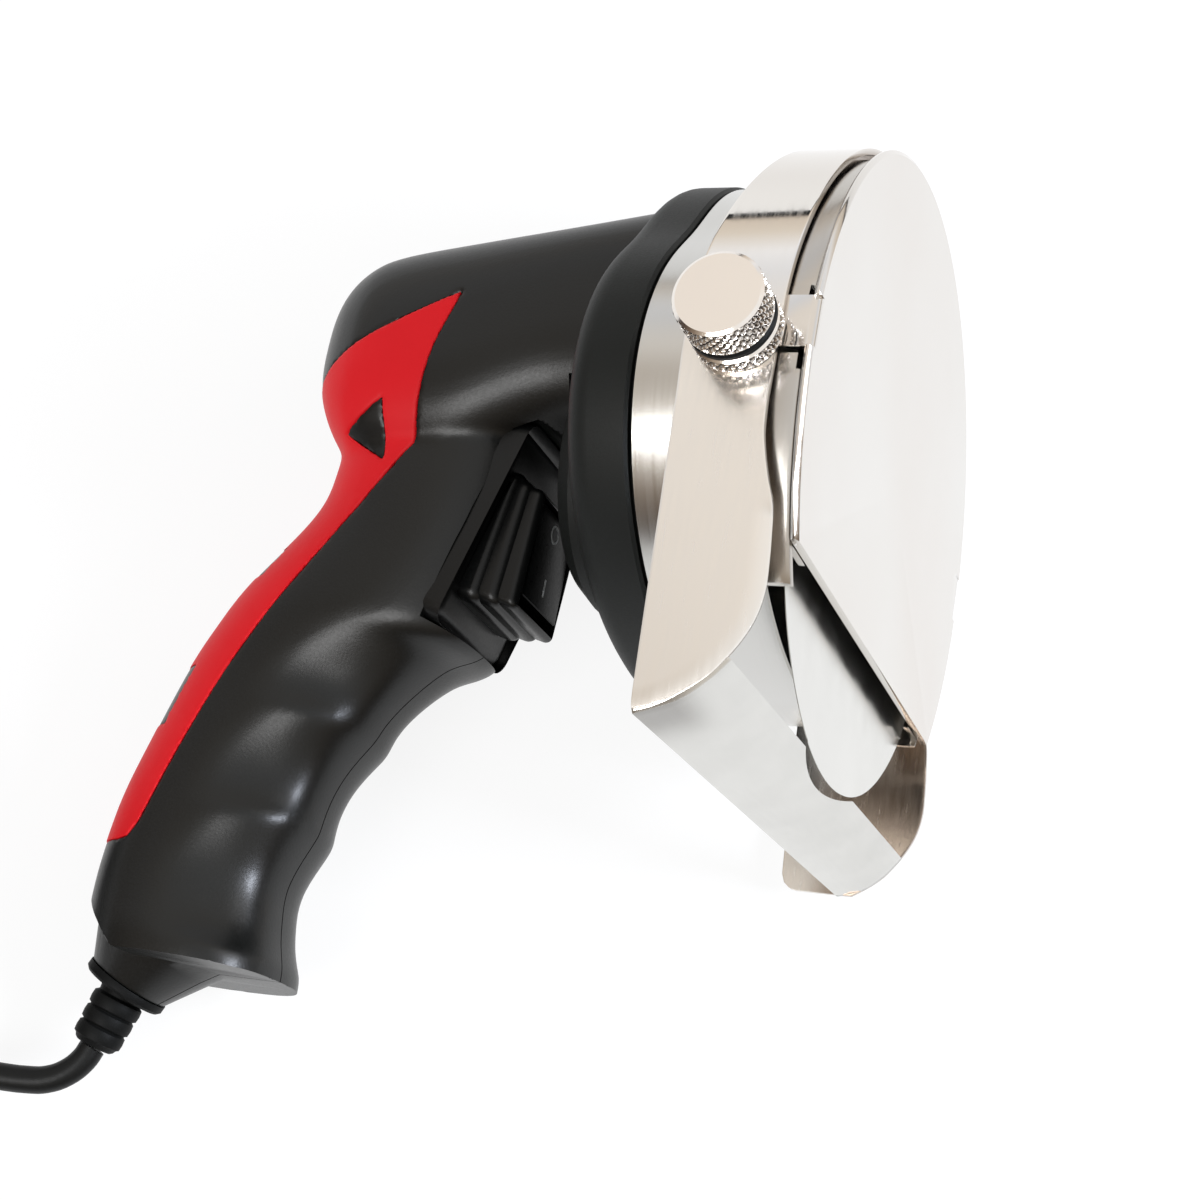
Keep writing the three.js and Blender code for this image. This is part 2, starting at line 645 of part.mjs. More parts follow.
function makeCover() {
  const plate = turned([
    [-COVER_T, 0],
    [-COVER_T, COVER_R - COVER_EDGE],
    [-COVER_T + COVER_EDGE, COVER_R],
    [-COVER_EDGE, COVER_R],
    [0, COVER_R - COVER_EDGE],
    [0, 0],
  ], 60);
  const below = box(-FAR, FAR, -FAR, FAR, -FAR, COVER_CUT_Z);
  addPiece('cover_plate', plate.subtract(below), FINISHES.steel);
  const front = -COVER_T - GAP;
  const wall = ringX(SKIRT_BACK_X, front, SKIRT_R - SHEET, SKIRT_R, 0, 0, 44);
  const flange = ringX(front - SHEET, front, SKIRT_R - SKIRT_FLANGE, SKIRT_R, 0, 0, 44);
  let skirt = wall.add(flange).subtract(box(-FAR, FAR, -FAR, FAR, -FAR, SKIRT_END_Z));
  for (const centre of LUG_CENTRES) {
    const window = ringPart(
      HEAD_FRONT_X - LUG_LONG - GAP, HEAD_FRONT_X + GAP, SKIRT_R - 2 * SHEET, SKIRT_R + SHEET,
      centre - LUG_HALF - LUG_PLAY, centre + LUG_HALF + LUG_PLAY + TWIST,
    );
    skirt = skirt.subtract(window);
  }
  addPiece('cover_skirt', skirt, FINISHES.steel);
}

function makeBladeDrive() {
  const back = BLADE_X - BLADE_T;
  const hole = SPINDLE_R + GAP;
  addPiece('blade', turned([
    [back, hole],
    [back, BLADE_R - BLADE_BEVEL],
    [BLADE_X - BLADE_EDGE, BLADE_R],
    [BLADE_X, BLADE_R],
    [BLADE_X, hole],
  ], 48), FINISHES.steel);
  const screwBack = BLADE_X + SCREW_LIFT;
  const screwFront = screwBack + SCREW_T;
  const slotFloor = screwFront - SCREW_SLOT_DEEP;
  const slot = box(slotFloor, FAR, -SCREW_R, SCREW_R, -SCREW_SLOT_HALF, SCREW_SLOT_HALF);
  addPiece('blade_screw', turned([
    [screwBack - SCREW_SHANK, 0],
    [screwBack - SCREW_SHANK, SCREW_SHANK_R],
    [screwBack, SCREW_SHANK_R],
    [screwBack, SCREW_R],
    [screwFront, SCREW_R - SCREW_CHAMFER],
    [screwFront, 0],
  ], 24).subtract(slot), FINISHES.steel);
  const hubFront = back - GAP;
  const spindleBack = BOSS_BACK_X + BOSS_FLOOR + SHEET;
  const screwEnd = screwBack - SCREW_SHANK - SCREW_SPARE;
  addPiece('spindle', turned([
    [spindleBack, 0],
    [spindleBack, SPINDLE_R],
    [hubFront - HUB_T, SPINDLE_R],
    [hubFront - HUB_T, HUB_R],
    [hubFront, HUB_R],
    [hubFront, SPINDLE_R],
    [BLADE_X - SCREW_LIFT, SPINDLE_R],
    [BLADE_X - SCREW_LIFT, SCREW_SHANK_R + GAP],
    [screwEnd, SCREW_SHANK_R + GAP],
    [screwEnd, 0],
  ], 24), FINISHES.iron);
  const frontX = HEAD_HUB_X - BEARING_T;
  const bearing = (x) => ringX(x, x + BEARING_T - 2 * GAP, SPINDLE_R + GAP, BEARING_R, 0, 0, 28);
  addPiece('bearing_front', bearing(frontX + GAP), FINISHES.steel);
  addPiece('bearing_rear', bearing(spindleBack), FINISHES.steel);
  const gear = toothed(GEAR_TEETH, GEAR_X0, GEAR_X1, 0, 0, 0);
  addPiece('drive_gear', gear.subtract(rodX(-FAR, FAR, SPINDLE_R + GAP, 0, 0)), FINISHES.iron);
}

function makeMotor() {
  const z = CENTRE;
  const capX = MOTOR_X0 + CAP_T;
  addPiece('motor_can', turned([
    [capX + GAP, MOTOR_R - MOTOR_WALL],
    [capX + GAP, MOTOR_R],
    [MOTOR_X1, MOTOR_R],
    [MOTOR_X1, BUSH_R + GAP],
    [MOTOR_X1 - MOTOR_WALL, BUSH_R + GAP],
    [MOTOR_X1 - MOTOR_WALL, MOTOR_R - MOTOR_WALL],
  ], 28, 0, z), FINISHES.iron);
  addPiece('motor_end_cap', ringX(MOTOR_X0, capX, BUSH_R + GAP, MOTOR_R, 0, z, 28), FINISHES.rubber);
  const magnetOut = MOTOR_R - MOTOR_WALL - GAP;
  const magnetX = [MOTOR_X1 - MAGNET_BACK, MOTOR_X1 - MAGNET_FRONT];
  const magnet = (from, to) => {
    const arc = ringPart(...magnetX, magnetOut - MAGNET_T, magnetOut, from, to);
    return arc.translate([0, 0, z]);
  };
  addPiece('magnet_upper', magnet(30, 150), FINISHES.iron);
  addPiece('magnet_lower', magnet(210, 330), FINISHES.iron);
  let core = ringX(magnetX[0] + SHEET, magnetX[1] - SHEET, SHAFT_R + GAP, ROTOR_R, 0, z, 25);
  for (let i = 0; i < ROTOR_SLOTS; i += 1) {
    const angle = i * 2 * Math.PI / ROTOR_SLOTS;
    const at = [ROTOR_R * Math.cos(angle), z + ROTOR_R * Math.sin(angle)];
    core = core.subtract(rodX(-FAR, FAR, ROTOR_SLOT_R, ...at, 8));
  }
  addPiece('rotor_core', core, FINISHES.copper);
  const barX = [capX + BAR_GAP, capX + BAR_GAP + BAR_LONG];
  addPiece('commutator', ringX(...barX, SHAFT_R + GAP, COMMUTATOR_R, 0, z, 16), FINISHES.copper);
  addPiece('rotor_shaft', rodX(MOTOR_X0 - SHEET, GEAR_X1 + 2 * GAP, SHAFT_R, 0, z, 12), FINISHES.steel);
  const bush = (x0, x1) => ringX(x0, x1, SHAFT_R + GAP, BUSH_R, 0, z, 16);
  addPiece('bush_front', bush(MOTOR_X1 - MOTOR_WALL, MOTOR_X1 + BUSH_OUT), FINISHES.brass);
  addPiece('bush_rear', bush(MOTOR_X0 - GAP, capX - GAP), FINISHES.brass);
  const pinion = toothed(PINION_TEETH, GEAR_X0, GEAR_X1, 0.75, 0, z);
  addPiece('pinion', pinion.subtract(rodX(-FAR, FAR, SHAFT_R + GAP, 0, z, 12)), FINISHES.brass);
  const brush = (side) => {
    const [near, far] = [side * (COMMUTATOR_R + GAP), side * (MOTOR_R - MOTOR_WALL - GAP)];
    const [y0, y1] = [Math.min(near, far), Math.max(near, far)];
    return box(barX[0] + BRUSH_IN, barX[1] - BRUSH_IN, y0, y1, z - BRUSH_HALF, z + BRUSH_HALF);
  };
  addPiece('brush_right', brush(-1), FINISHES.rubber);
  addPiece('brush_left', brush(1), FINISHES.rubber);
}

function makeSwitch() {
  const h = BEZEL_HALF_LONG;
  const steps = [
    panelBody([[-h, GAP], [-h, BEZEL_T], [h, BEZEL_T], [h, GAP]], BEZEL_HALF_WIDE),
    ...STEP_LIPS.map(([upper, lower], i) => {
      const long = h - STEP_INS[i];
      return panelBody([[-long, GAP], [-long, upper], [long, lower], [long, GAP]], BEZEL_HALF_WIDE - STEP_SIDES[i]);
    }),
  ];
  const wide = ROCKER_HALF_WIDE + ROCKER_PLAY;
  const o = OPENING_HALF_LONG;
  const opening = panelBody([[-o, -PANEL_ROOM], [-o, PANEL_ROOM], [o, PANEL_ROOM], [o, -PANEL_ROOM]], wide);
  addPiece('switch_bezel', steps[0].add(steps[1]).add(steps[2]).subtract(opening), FINISHES.rubber);
  const r = ROCKER_HALF_LONG;
  const rocker = panelBody([
    [-r, 2.8],
    [-r, 7],
    [0, 9.8],
    [r, 14.8],
    [r + 0.2, 8.4],
    [5, 4.6],
    [-5, 2.4],
  ], ROCKER_HALF_WIDE);
  addPiece('rocker', rocker, FINISHES.rubber);
  const [long, deep] = [SWITCH_HALF_LONG, SWITCH_DEEP];
  const body = panelBody([[-long, -deep], [-long, -GAP], [long, -GAP], [long, -deep]], SWITCH_HALF_WIDE);
  addPiece('switch_body', body, FINISHES.rubber);
  const terminal = (along) => {
    const [from, to] = [along - TERMINAL_HALF, along + TERMINAL_HALF];
    const [seat, end] = [-deep - GAP, -deep - TERMINAL_LONG];
    return panelBody([[from, end], [from, seat], [to, seat], [to, end]], TERMINAL_HALF_T);
  };
  addPiece('terminal_upper', terminal(-TERMINAL_AT), FINISHES.brass);
  addPiece('terminal_lower', terminal(TERMINAL_AT), FINISHES.brass);
}

// Front and lower edge of an arm seen from the side
function armEdge(shape) {
  shape.bezierCurveTo(-3.6, -22, -1.4, -25, -1.4, -31);
  shape.bezierCurveTo(-1.4, ARM_LOW_Z + 16, -3, ARM_LOW_Z + 10, -8, ARM_LOW_Z + 4.6);
  shape.quadraticCurveTo(-12, ARM_LOW_Z + 1, ARM_BACK_X, ARM_LOW_Z);
  shape.lineTo(GUIDE_BACK_X, 0);
}

function makeGuide() {
  const inner = HOOD_R - SHEET;
  const hood = new THREE.Shape();
  hood.absarc(0, 0, HOOD_R, 0, Math.PI, false);
  hood.lineTo(-HOOD_R, ARM_LOW_Z - SHEET);
  hood.lineTo(-inner, ARM_LOW_Z - SHEET);
  hood.lineTo(-inner, 0);
  hood.absarc(0, 0, inner, Math.PI, 0, true);
  hood.lineTo(inner, ARM_LOW_Z - SHEET);
  hood.lineTo(HOOD_R, ARM_LOW_Z - SHEET);
  const band = alongX(hood, GUIDE_BACK_X, FAR, 22);
  const side = new THREE.Shape();
  side.moveTo(GUIDE_BACK_X, FAR);
  side.lineTo(HOOD_FRONT_X, FAR);
  side.lineTo(HOOD_FRONT_X, -10);
  armEdge(side);
  const slot = acrossY(slotOutline(KNOB_X, 0, GUIDE_TRAVEL, STUD_R + GAP), FAR);
  addPiece('guide_hood', band.intersect(acrossY(side, FAR, 6)).subtract(slot), FINISHES.steel);
}

// Curved plate between the arms, with a round notch that clears the head and the blade
function makeScoop() {
  const lip = new THREE.Shape();
  lip.moveTo(SCOOP_FRONT_X, ARM_LOW_Z + 8);
  lip.lineTo(-8, ARM_LOW_Z + 4.6);
  lip.quadraticCurveTo(-12, ARM_LOW_Z + 1, ARM_BACK_X, ARM_LOW_Z);
  lip.lineTo(ARM_BACK_X, ARM_LOW_Z + SHEET);
  lip.quadraticCurveTo(-12.4, ARM_LOW_Z + 1 + SHEET, -8 - 0.8 * SHEET, ARM_LOW_Z + 4.6 + 0.6 * SHEET);
  lip.lineTo(SCOOP_FRONT_X - 0.8 * SHEET, ARM_LOW_Z + 8 + 0.6 * SHEET);
  const plate = acrossY(lip, HOOD_R - SHEET - GAP);
  const radius = (NOTCH_HALF ** 2 + NOTCH_DEEP ** 2) / (2 * NOTCH_DEEP);
  const geometry = new THREE.CylinderGeometry(radius, radius, FAR, 96);
  geometry.rotateX(Math.PI / 2);
  geometry.translate(SCOOP_FRONT_X - NOTCH_DEEP + radius, 0, ARM_LOW_Z);
  addPiece('guide_scoop', plate.subtract(solid(geometry)), FINISHES.steel);
}

function slotOutline(x, z, half, radius) {
  const shape = new THREE.Shape();
  shape.absarc(x + half, z, radius, -Math.PI / 2, Math.PI / 2, false);
  shape.absarc(x - half, z, radius, Math.PI / 2, 3 * Math.PI / 2, false);
  return shape;
}

// Knurled wheel on the Y axis: a many-toothed round outline
function knurled(y0, y1, radius, ridges) {
  const shape = new THREE.Shape();
  for (let i = 0; i < 2 * ridges; i += 1) {
    const angle = i * Math.PI / ridges;
    const r = i % 2 ? radius : radius - KNURL_DEEP;
    if (i === 0) shape.moveTo(KNOB_X + r, 0);
    else shape.lineTo(KNOB_X + r * Math.cos(angle), r * Math.sin(angle));
  }
  return acrossY(shape, (y1 - y0) / 2).translate([0, (y0 + y1) / 2, 0]);
}

function makeKnob() {
  const face = -HOOD_R - GAP;
  const footOut = face - FOOT_H;
  const washerOut = footOut - WASHER_H;
  const headOut = washerOut - KNOB_H;
  const blindEnd = headOut + KNOB_FACE_T;
  const bore = rodY(-FAR, 0, STUD_R + GAP, KNOB_X, 0, 12);
  addPiece('knob_nut', knurled(footOut + GAP, face, KNOB_FOOT_R, KNURLS).subtract(bore), FINISHES.steel);
  const washer = rodY(washerOut + GAP, footOut, KNOB_R - WASHER_IN, KNOB_X, 0, 16);
  addPiece('knob_washer', washer.subtract(bore), FINISHES.rubber);
  const blind = rodY(blindEnd, 0, STUD_R + GAP, KNOB_X, 0, 12);
  addPiece('knob_head', knurled(headOut, washerOut, KNOB_R, KNURLS).subtract(blind), FINISHES.steel);
  addPiece('knob_stud', rodY(blindEnd + GAP, STUD_DEEP - HEAD_R, STUD_R, KNOB_X, 0, 16), FINISHES.steel);
  addPiece('guide_pin', rodY(HEAD_R - PIN_DEEP, HOOD_R - GAP, STUD_R, KNOB_X, 0, 12), FINISHES.steel);
}

// Strain relief: a flange in the foot of the grip and a ribbed sleeve along the cord's way out
const RELIEF_AT = new THREE.Vector3(-119.3, 0, -93.4);
const RELIEF_LEAN = 18 * Math.PI / 180;
const RELIEF_FLANGE_R = 7.7;
const RELIEF_LONG = 14;
const RELIEF_NECK_R = 3.9;
const RELIEF_RIB_R = 4.6;

function placeRelief(body) {
  const turn = RELIEF_LEAN * 180 / Math.PI;
  return body.rotate([0, 90 + turn, 0]).translate(RELIEF_AT.toArray());
}

function reliefSeat() {
  return placeRelief(rodX(-14, 4, 5 + GAP, 0, 0, 16));
}

function makeRelief() {
  const points = [
    [-12, CORD_R + GAP],
    [-12, 5],
    [0.5, 5],
    [0.5, RELIEF_FLANGE_R],
    [2.5, RELIEF_FLANGE_R],
    [2.9, RELIEF_NECK_R],
  ];
  for (let i = 0; i < 3; i += 1) {
    const x = 3.4 + 3.4 * i;
    points.push([x, RELIEF_NECK_R], [x + 0.7, RELIEF_RIB_R], [x + 2, RELIEF_RIB_R], [x + 2.6, RELIEF_NECK_R]);
  }
  points.push([RELIEF_LONG, CORD_R + 1], [RELIEF_LONG, CORD_R + GAP]);
  addPiece('strain_relief', placeRelief(turned(points, 10)), FINISHES.rubber);
}

// Rectifier board on edge, standing on a screw post
const BOARD_HALF_LONG = 8;
const BOARD_HIGH = 18;
const BOARD_HALF_T = 1;

function makeBoard() {
  const [x, z] = HOUSING_SCREWS[3];
  const foot = z + HOUSING_POST_R + GAP;
  const [x0, x1] = [x - BOARD_HALF_LONG, x + BOARD_HALF_LONG];
  const board = box(x0, x1, -BOARD_HALF_T, BOARD_HALF_T, foot, foot + BOARD_HIGH);
  addPiece('rectifier_board', board, FINISHES.board);
}

// The whole tool on its left side, with the table at z = 0
function layDown() {
  tool.rotation.set(LIE_ROLL * Math.PI / 180, 0, LIE_TURN * Math.PI / 180);
  tool.updateMatrixWorld(true);
  const bounds = new THREE.Box3().setFromObject(tool, true);
  tool.position.set(LIE_AT.x, LIE_AT.y, -bounds.min.z);
  tool.updateMatrixWorld(true);
}

// Coil of the cord's spare length: in on the lower layer, up, and out again on the upper one
const COIL_TURNS = 7.25;
const COIL_PITCH = 2 * CORD_R + 0.6;
const COIL_INNER = 19.5;
const COIL_OUTER = COIL_INNER + COIL_PITCH * COIL_TURNS / 2;
const COIL_STEPS = 24;
const COIL_SIDES = 6;
const TIE_T = 0.8;
const TIE_WIDE = 6;
const TIE_ANGLE = 135;
const COIL_AT = new THREE.Vector3(-137, -51.5, TIE_T + GAP + CORD_R);

// Free stretches of the cord, on the table's axes
const CORD_ROUTE = [
  [-64.3, -84.4, 13.5],
  [-66.6, -87.1, 13.1],
  [-69.6, -88.8, 12.6],
  [-72.4, -89.4, 12.1],
  [-80, -89.9, 10.7],
  [-92, -90.8, 8.4],
  [-106, -91.7, 5.9],
  [-118, -92, 4.2],
  [-126, -92, 3.6],
];
const PLUG_AT = new THREE.Vector3(-160, 20, 6.9);
const TAIL_ROUTE = [
  [-177.3, -40, 9.1],
  [-176, -30, 8.9],
  [-173, -19, 8.5],
  [-168.4, -8, 7.9],
  [-163.8, 2, 7.3],
  [-160.8, 11, 7],
];

function coilPoint(turns) {
  const fromMiddle = turns - COIL_TURNS / 2;
  const radius = COIL_INNER + COIL_PITCH * Math.abs(fromMiddle);
  const angle = -Math.PI / 2 - 2 * Math.PI * turns;
  const rise = COIL_PITCH * THREE.MathUtils.smoothstep(fromMiddle, -0.25, 0.25);
  return new THREE.Vector3(radius * Math.cos(angle), radius * Math.sin(angle), rise).add(COIL_AT);
}

// Rings of a level tube along points, for a skin over them
function tubeRings(points, radius, sides) {
  const up = new THREE.Vector3(0, 0, 1);
  return points.map((point, i) => {
    const before = points[Math.max(i - 1, 0)];
    const after = points[Math.min(i + 1, points.length - 1)];
    const along = after.clone().sub(before).normalize();
    const side = along.clone().cross(up).normalize();
    const top = side.clone().cross(along);
    return Array.from({ length: sides }, (_, k) => {
      const angle = (k + 0.5) / sides * 2 * Math.PI;
      return point.clone()
        .addScaledVector(side, radius * Math.cos(angle))
        .addScaledVector(top, radius * Math.sin(angle));
    });
  });
}

function leastGap(points) {
  let least = Infinity;
  for (let i = 0; i < points.length; i += 1) {
    for (let j = i + COIL_STEPS / 2; j < points.length; j += 1) {
      least = Math.min(least, points[i].distanceTo(points[j]));
    }
  }
  return least - 2 * CORD_R;
}

function coilPoints() {
  const points = [];
  const count = Math.round(COIL_TURNS * COIL_STEPS);
  for (let i = 0; i <= count; i += 1) points.push(coilPoint(i / COIL_STEPS));
  const first = points[0].clone().add(new THREE.Vector3(2 * CORD_R, 0, 0));
  const last = points[count].clone().add(new THREE.Vector3(0, 2 * CORD_R, 0));
  return [first, ...points, last];
}

function cordTube(points) {
  const section = new THREE.Shape();
  for (let k = 0; k < CORD_SIDES; k += 1) {
    const angle = k / CORD_SIDES * 2 * Math.PI;
    const at = [CORD_R * Math.cos(angle), CORD_R * Math.sin(angle)];
    if (k === 0) section.moveTo(...at);
    else section.lineTo(...at);
  }
  const path = new THREE.CatmullRomCurve3(points, false, 'centripetal');
  const steps = Math.ceil(path.getLength() / (3 * CORD_R));
  return solid(new THREE.ExtrudeGeometry(section, { steps, extrudePath: path, bevelEnabled: false }));
}

function makeCord() {
  const coil = coilPoints();
  console.log(`coil: least gap to itself ${leastGap(coil).toFixed(2)} mm`);
  addPiece('cord_coil', loft(tubeRings(coil, CORD_R, COIL_SIDES)), FINISHES.rubber, group);
  const toVector = ([x, y, z]) => new THREE.Vector3(x, y, z);
  const away = new THREE.Vector3(-Math.sin(RELIEF_LEAN), 0, -Math.cos(RELIEF_LEAN));
  const start = tool.localToWorld(RELIEF_AT.clone().addScaledVector(away, RELIEF_LONG + GAP));
  const arrival = coil[0].clone().add(new THREE.Vector3(GAP, 0, 0));
  addPiece('cord_free', cordTube([start, ...CORD_ROUTE.map(toVector), arrival]), FINISHES.rubber, group);
  const leaving = coil[coil.length - 1].clone().add(new THREE.Vector3(0, GAP, 0));
  const plugEnd = PLUG_AT.clone().add(new THREE.Vector3(0, -GAP, 0));
  addPiece('cord_tail', cordTube([leaving, ...TAIL_ROUTE.map(toVector), plugEnd]), FINISHES.rubber, group);
  const inner = COIL_INNER - CORD_R - 2;
  const outer = COIL_OUTER + CORD_R + 1;
  const top = COIL_AT.z + COIL_PITCH + CORD_R + GAP;
  const strap = box(inner - TIE_T, outer + TIE_T, -TIE_WIDE / 2, TIE_WIDE / 2, 0, top + TIE_T)
    .subtract(box(inner, outer, -TIE_WIDE, TIE_WIDE, TIE_T, top));
  const tie = strap.rotate([0, 0, TIE_ANGLE]).translate([COIL_AT.x, COIL_AT.y, 0]);
  addPiece('cord_tie', tie, FINISHES.black, group);
}

// Flat two-pin plug lying on the table, pins away from the cord
const PLUG_HALF_WIDE = 17.6;
const PLUG_HALF_HIGH = 6.9;
const PLUG_LONG = 34;
const PIN_R = 2;
const PIN_LONG = 19;
const PIN_APART = 18.6;

// Outline stations of the plug: distance along it, half width and half height
const PLUG_STATIONS = [
  [0, 4.4, 4.2],
  [10, 5, 4.6],
  [17, 11, 6.4],
  [22, 15.4, PLUG_HALF_HIGH],
  [PLUG_LONG, PLUG_HALF_WIDE, PLUG_HALF_HIGH],
];
const PLUG_SIDES = 16;

function plugRing([along, wide, high]) {
  const square = (value) => Math.sign(value) * Math.sqrt(Math.abs(value));
  return Array.from({ length: PLUG_SIDES }, (_, k) => {
    const angle = k / PLUG_SIDES * 2 * Math.PI;
    const aside = wide * square(Math.cos(angle));
    return new THREE.Vector3(aside, along, high * square(Math.sin(angle))).add(PLUG_AT);
  });
}

function makePlug() {
  const front = PLUG_AT.y + PLUG_LONG;
  const pins = [-1, 1].map((side) => PLUG_AT.x + side * PIN_APART / 2);
  let body = loft(PLUG_STATIONS.map(plugRing));
  for (const x of pins) body = body.subtract(rodY(front - 4, front + 1, PIN_R + GAP, x, PLUG_AT.z, 12));
  addPiece('plug_body', body, FINISHES.rubber, group);
  pins.forEach((x, i) => {
    const pin = rodY(front - 4 + GAP, front + PIN_LONG, PIN_R, x, PLUG_AT.z, 12);
    addPiece(`plug_pin_${i + 1}`, pin, FINISHES.brass, group);
  });
}

makeHousing();
makeCollar();
makeCollarScrews();
makeHeadRing();
makeCover();
makeBladeDrive();
makeMotor();
makeSwitch();
makeGuide();
makeScoop();
makeKnob();
makeRelief();
makeBoard();
layDown();
makeCord();
makePlug();

export default group;
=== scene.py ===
import json
import math

import bpy
from bpy.props import FloatProperty, FloatVectorProperty, PointerProperty
from mathutils import Matrix, Vector


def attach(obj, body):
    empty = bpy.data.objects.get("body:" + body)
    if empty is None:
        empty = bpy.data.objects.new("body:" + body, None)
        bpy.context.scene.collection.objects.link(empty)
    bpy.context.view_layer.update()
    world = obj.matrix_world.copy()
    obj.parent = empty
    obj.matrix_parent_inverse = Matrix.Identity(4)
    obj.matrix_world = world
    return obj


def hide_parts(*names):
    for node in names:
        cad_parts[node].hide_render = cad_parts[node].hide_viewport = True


bl_info = {
    "name": "Kebab Slicer Looks",
    "version": (1, 0, 0),
    "blender": (4, 5, 0),
    "location": "View3D > Sidebar > Slicer",
    "description": "Dresses the packed solids of an electric kebab slicer with detailed pieces and materials",
    "category": "Object",
}

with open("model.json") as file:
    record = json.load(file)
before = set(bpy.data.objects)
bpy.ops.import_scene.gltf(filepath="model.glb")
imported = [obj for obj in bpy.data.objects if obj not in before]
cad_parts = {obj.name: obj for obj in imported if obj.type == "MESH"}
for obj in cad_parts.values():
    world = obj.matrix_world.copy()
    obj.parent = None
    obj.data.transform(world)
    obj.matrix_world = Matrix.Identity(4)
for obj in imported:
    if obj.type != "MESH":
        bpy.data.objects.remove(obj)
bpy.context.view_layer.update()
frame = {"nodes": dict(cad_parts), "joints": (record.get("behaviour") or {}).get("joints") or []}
JOINTS = {joint["name"]: joint for joint in frame["joints"]}

# Tool axes: X forward along the blade axis, Y to the left, Z up, from the middle of the cover's face
MM = 0.001
ORIGIN = Vector(JOINTS["blade_spin"]["pos_m"])
LIE_TURN = math.radians(-26.567)
LIE_ROLL = math.radians(-93.177)
TOOL_TURN = Matrix.Rotation(LIE_ROLL, 4, "X") @ Matrix.Rotation(LIE_TURN, 4, "Z")
TOOL_AXES = Matrix.Translation(ORIGIN) @ TOOL_TURN
X_AXIS = Vector((1, 0, 0))
Y_AXIS = Vector((0, 1, 0))
Z_AXIS = Vector((0, 0, 1))

# Camera, from the tool's origin on the table's axes
CAMERA_FROM_ORIGIN = Vector((-63.2, -118.24, 320.57)) * MM
CAMERA_AWAY = Vector((0.0575, 0.2699, -0.9612))
CAMERA_UP = Vector((-0.21, 0.9445, 0.2527))
CAMERA_LENS = 63
CAMERA_SENSOR = 36

# Radii round the blade axis and places along it, in millimetres
COVER_R = 55
COVER_T = 1.2
COVER_CUT_Z = -28.2
SKIRT_R = 53.6
SKIRT_BACK_X = -9.2
SKIRT_FLANGE = 7
SKIRT_END_Z = -33
SKIRT_FAR_Z = -29.6
SHEET = 1
FIT = 0.3
BLADE_X = -3.6
BLADE_T = 1.2
BLADE_BEVEL = 3.5
HEAD_R = 50.7
HEAD_SHOULDER_X = -14
HEAD_FRONT_X = -8.4
HEAD_BACK_X = -27.5
HUB_X = -9.5
COLLAR_R = 52.92
COLLAR_FRONT_X = -27.8
COLLAR_BACK_X = -38.5
COLLAR_ROUND = 4.5
COLLAR_LIP = 0.4
CASE_WALL = 4
CASE_R = 43
CASE_LIFT = 8
CASE_DEEP = 38
CASE_BLEND = 30
CASE_POINTS = 200
BOSS_R = 23
BOSS_BACK_X = -51.5
HOOD_R = 55.37
GUIDE_BACK_X = -19.2
HOOD_FRONT_X = -5.2
KNOB_X = -11
GUIDE_TRAVEL = 2.5
STUD_R = 1.5
BEARING_R = 11.3
SHAFT_Z = 23.5
SHAFT_HOLE_R = 6
SHAFT_HOLE_BACK_X = -52

# How far cutters reach beyond the pieces, and the distance at which doubles merge
CUT_REACH = 80
BEHIND_X = -20
BEFORE_X = 5
MERGE_DISTANCE = 0.002

# Finishes by name, mixed by an operator of their own
FINISHES = {}


def deselect():
    """Leaves edit mode and takes the selection off everything."""
    if bpy.context.object and bpy.context.object.mode != "OBJECT":
        bpy.ops.object.mode_set(mode="OBJECT")
    bpy.ops.object.select_all(action="DESELECT")


def choose(piece, *others):
    """Selects pieces and makes the first one active."""
    deselect()
    for each in (piece, *others):
        each.select_set(True)
    bpy.context.view_layer.objects.active = piece
    return piece


def edit_all(piece):
    """Opens a piece in edit mode with every point selected."""
    choose(piece)
    bpy.ops.object.mode_set(mode="EDIT")
    bpy.ops.mesh.select_mode(type="VERT")
    bpy.ops.mesh.select_all(action="SELECT")


def face_outward(piece):
    """Merges doubles and turns the faces of a closed shape outward."""
    edit_all(piece)
    bpy.ops.mesh.remove_doubles(threshold=MERGE_DISTANCE * MM)
    bpy.ops.mesh.select_all(action="SELECT")
    bpy.ops.mesh.normals_make_consistent(inside=False)
    bpy.ops.object.mode_set(mode="OBJECT")
    return piece


def modified(piece, kind, **settings):
    """Adds a modifier with its settings and applies it."""
    modifier = piece.modifiers.new(kind.title(), kind)
    for name, value in settings.items():
        setattr(modifier, name, value)
    choose(piece)
    bpy.ops.object.modifier_apply(modifier=modifier.name)
    return piece


def cut(piece, cutter, operation="DIFFERENCE", solver="EXACT"):
    """Cuts, joins or crosses a piece with another shape, which is used up."""
    modified(piece, "BOOLEAN", object=cutter, operation=operation, solver=solver)
    bpy.data.objects.remove(cutter)
    return piece


def carve(piece, cutter, operation="DIFFERENCE"):
    """Cuts, joins or crosses closed meshes with the solver made for them."""
    return cut(piece, cutter, operation, "MANIFOLD")


def copied(piece, name):
    """A copy of a piece with a mesh of its own."""
    twin = piece.copy()
    twin.data = piece.data.copy()
    twin.name = name
    bpy.context.collection.objects.link(twin)
    return twin


def joined(piece, *others):
    """Joins other pieces into the first one."""
    choose(piece, *others)
    bpy.ops.object.join()
    return piece


def eased(piece, width, segments=2, degrees=40):
    """Rounds the edges of a piece by a width in millimetres."""
    return modified(
        piece, "BEVEL", width=width * MM, segments=segments, limit_method="ANGLE",
        angle_limit=math.radians(degrees), miter_outer="MITER_ARC",
    )


def shaded(piece, degrees=35):
    """Shades a piece smooth, with creases above an angle."""
    choose(piece)
    bpy.ops.object.shade_smooth_by_angle(angle=math.radians(degrees))
    return piece


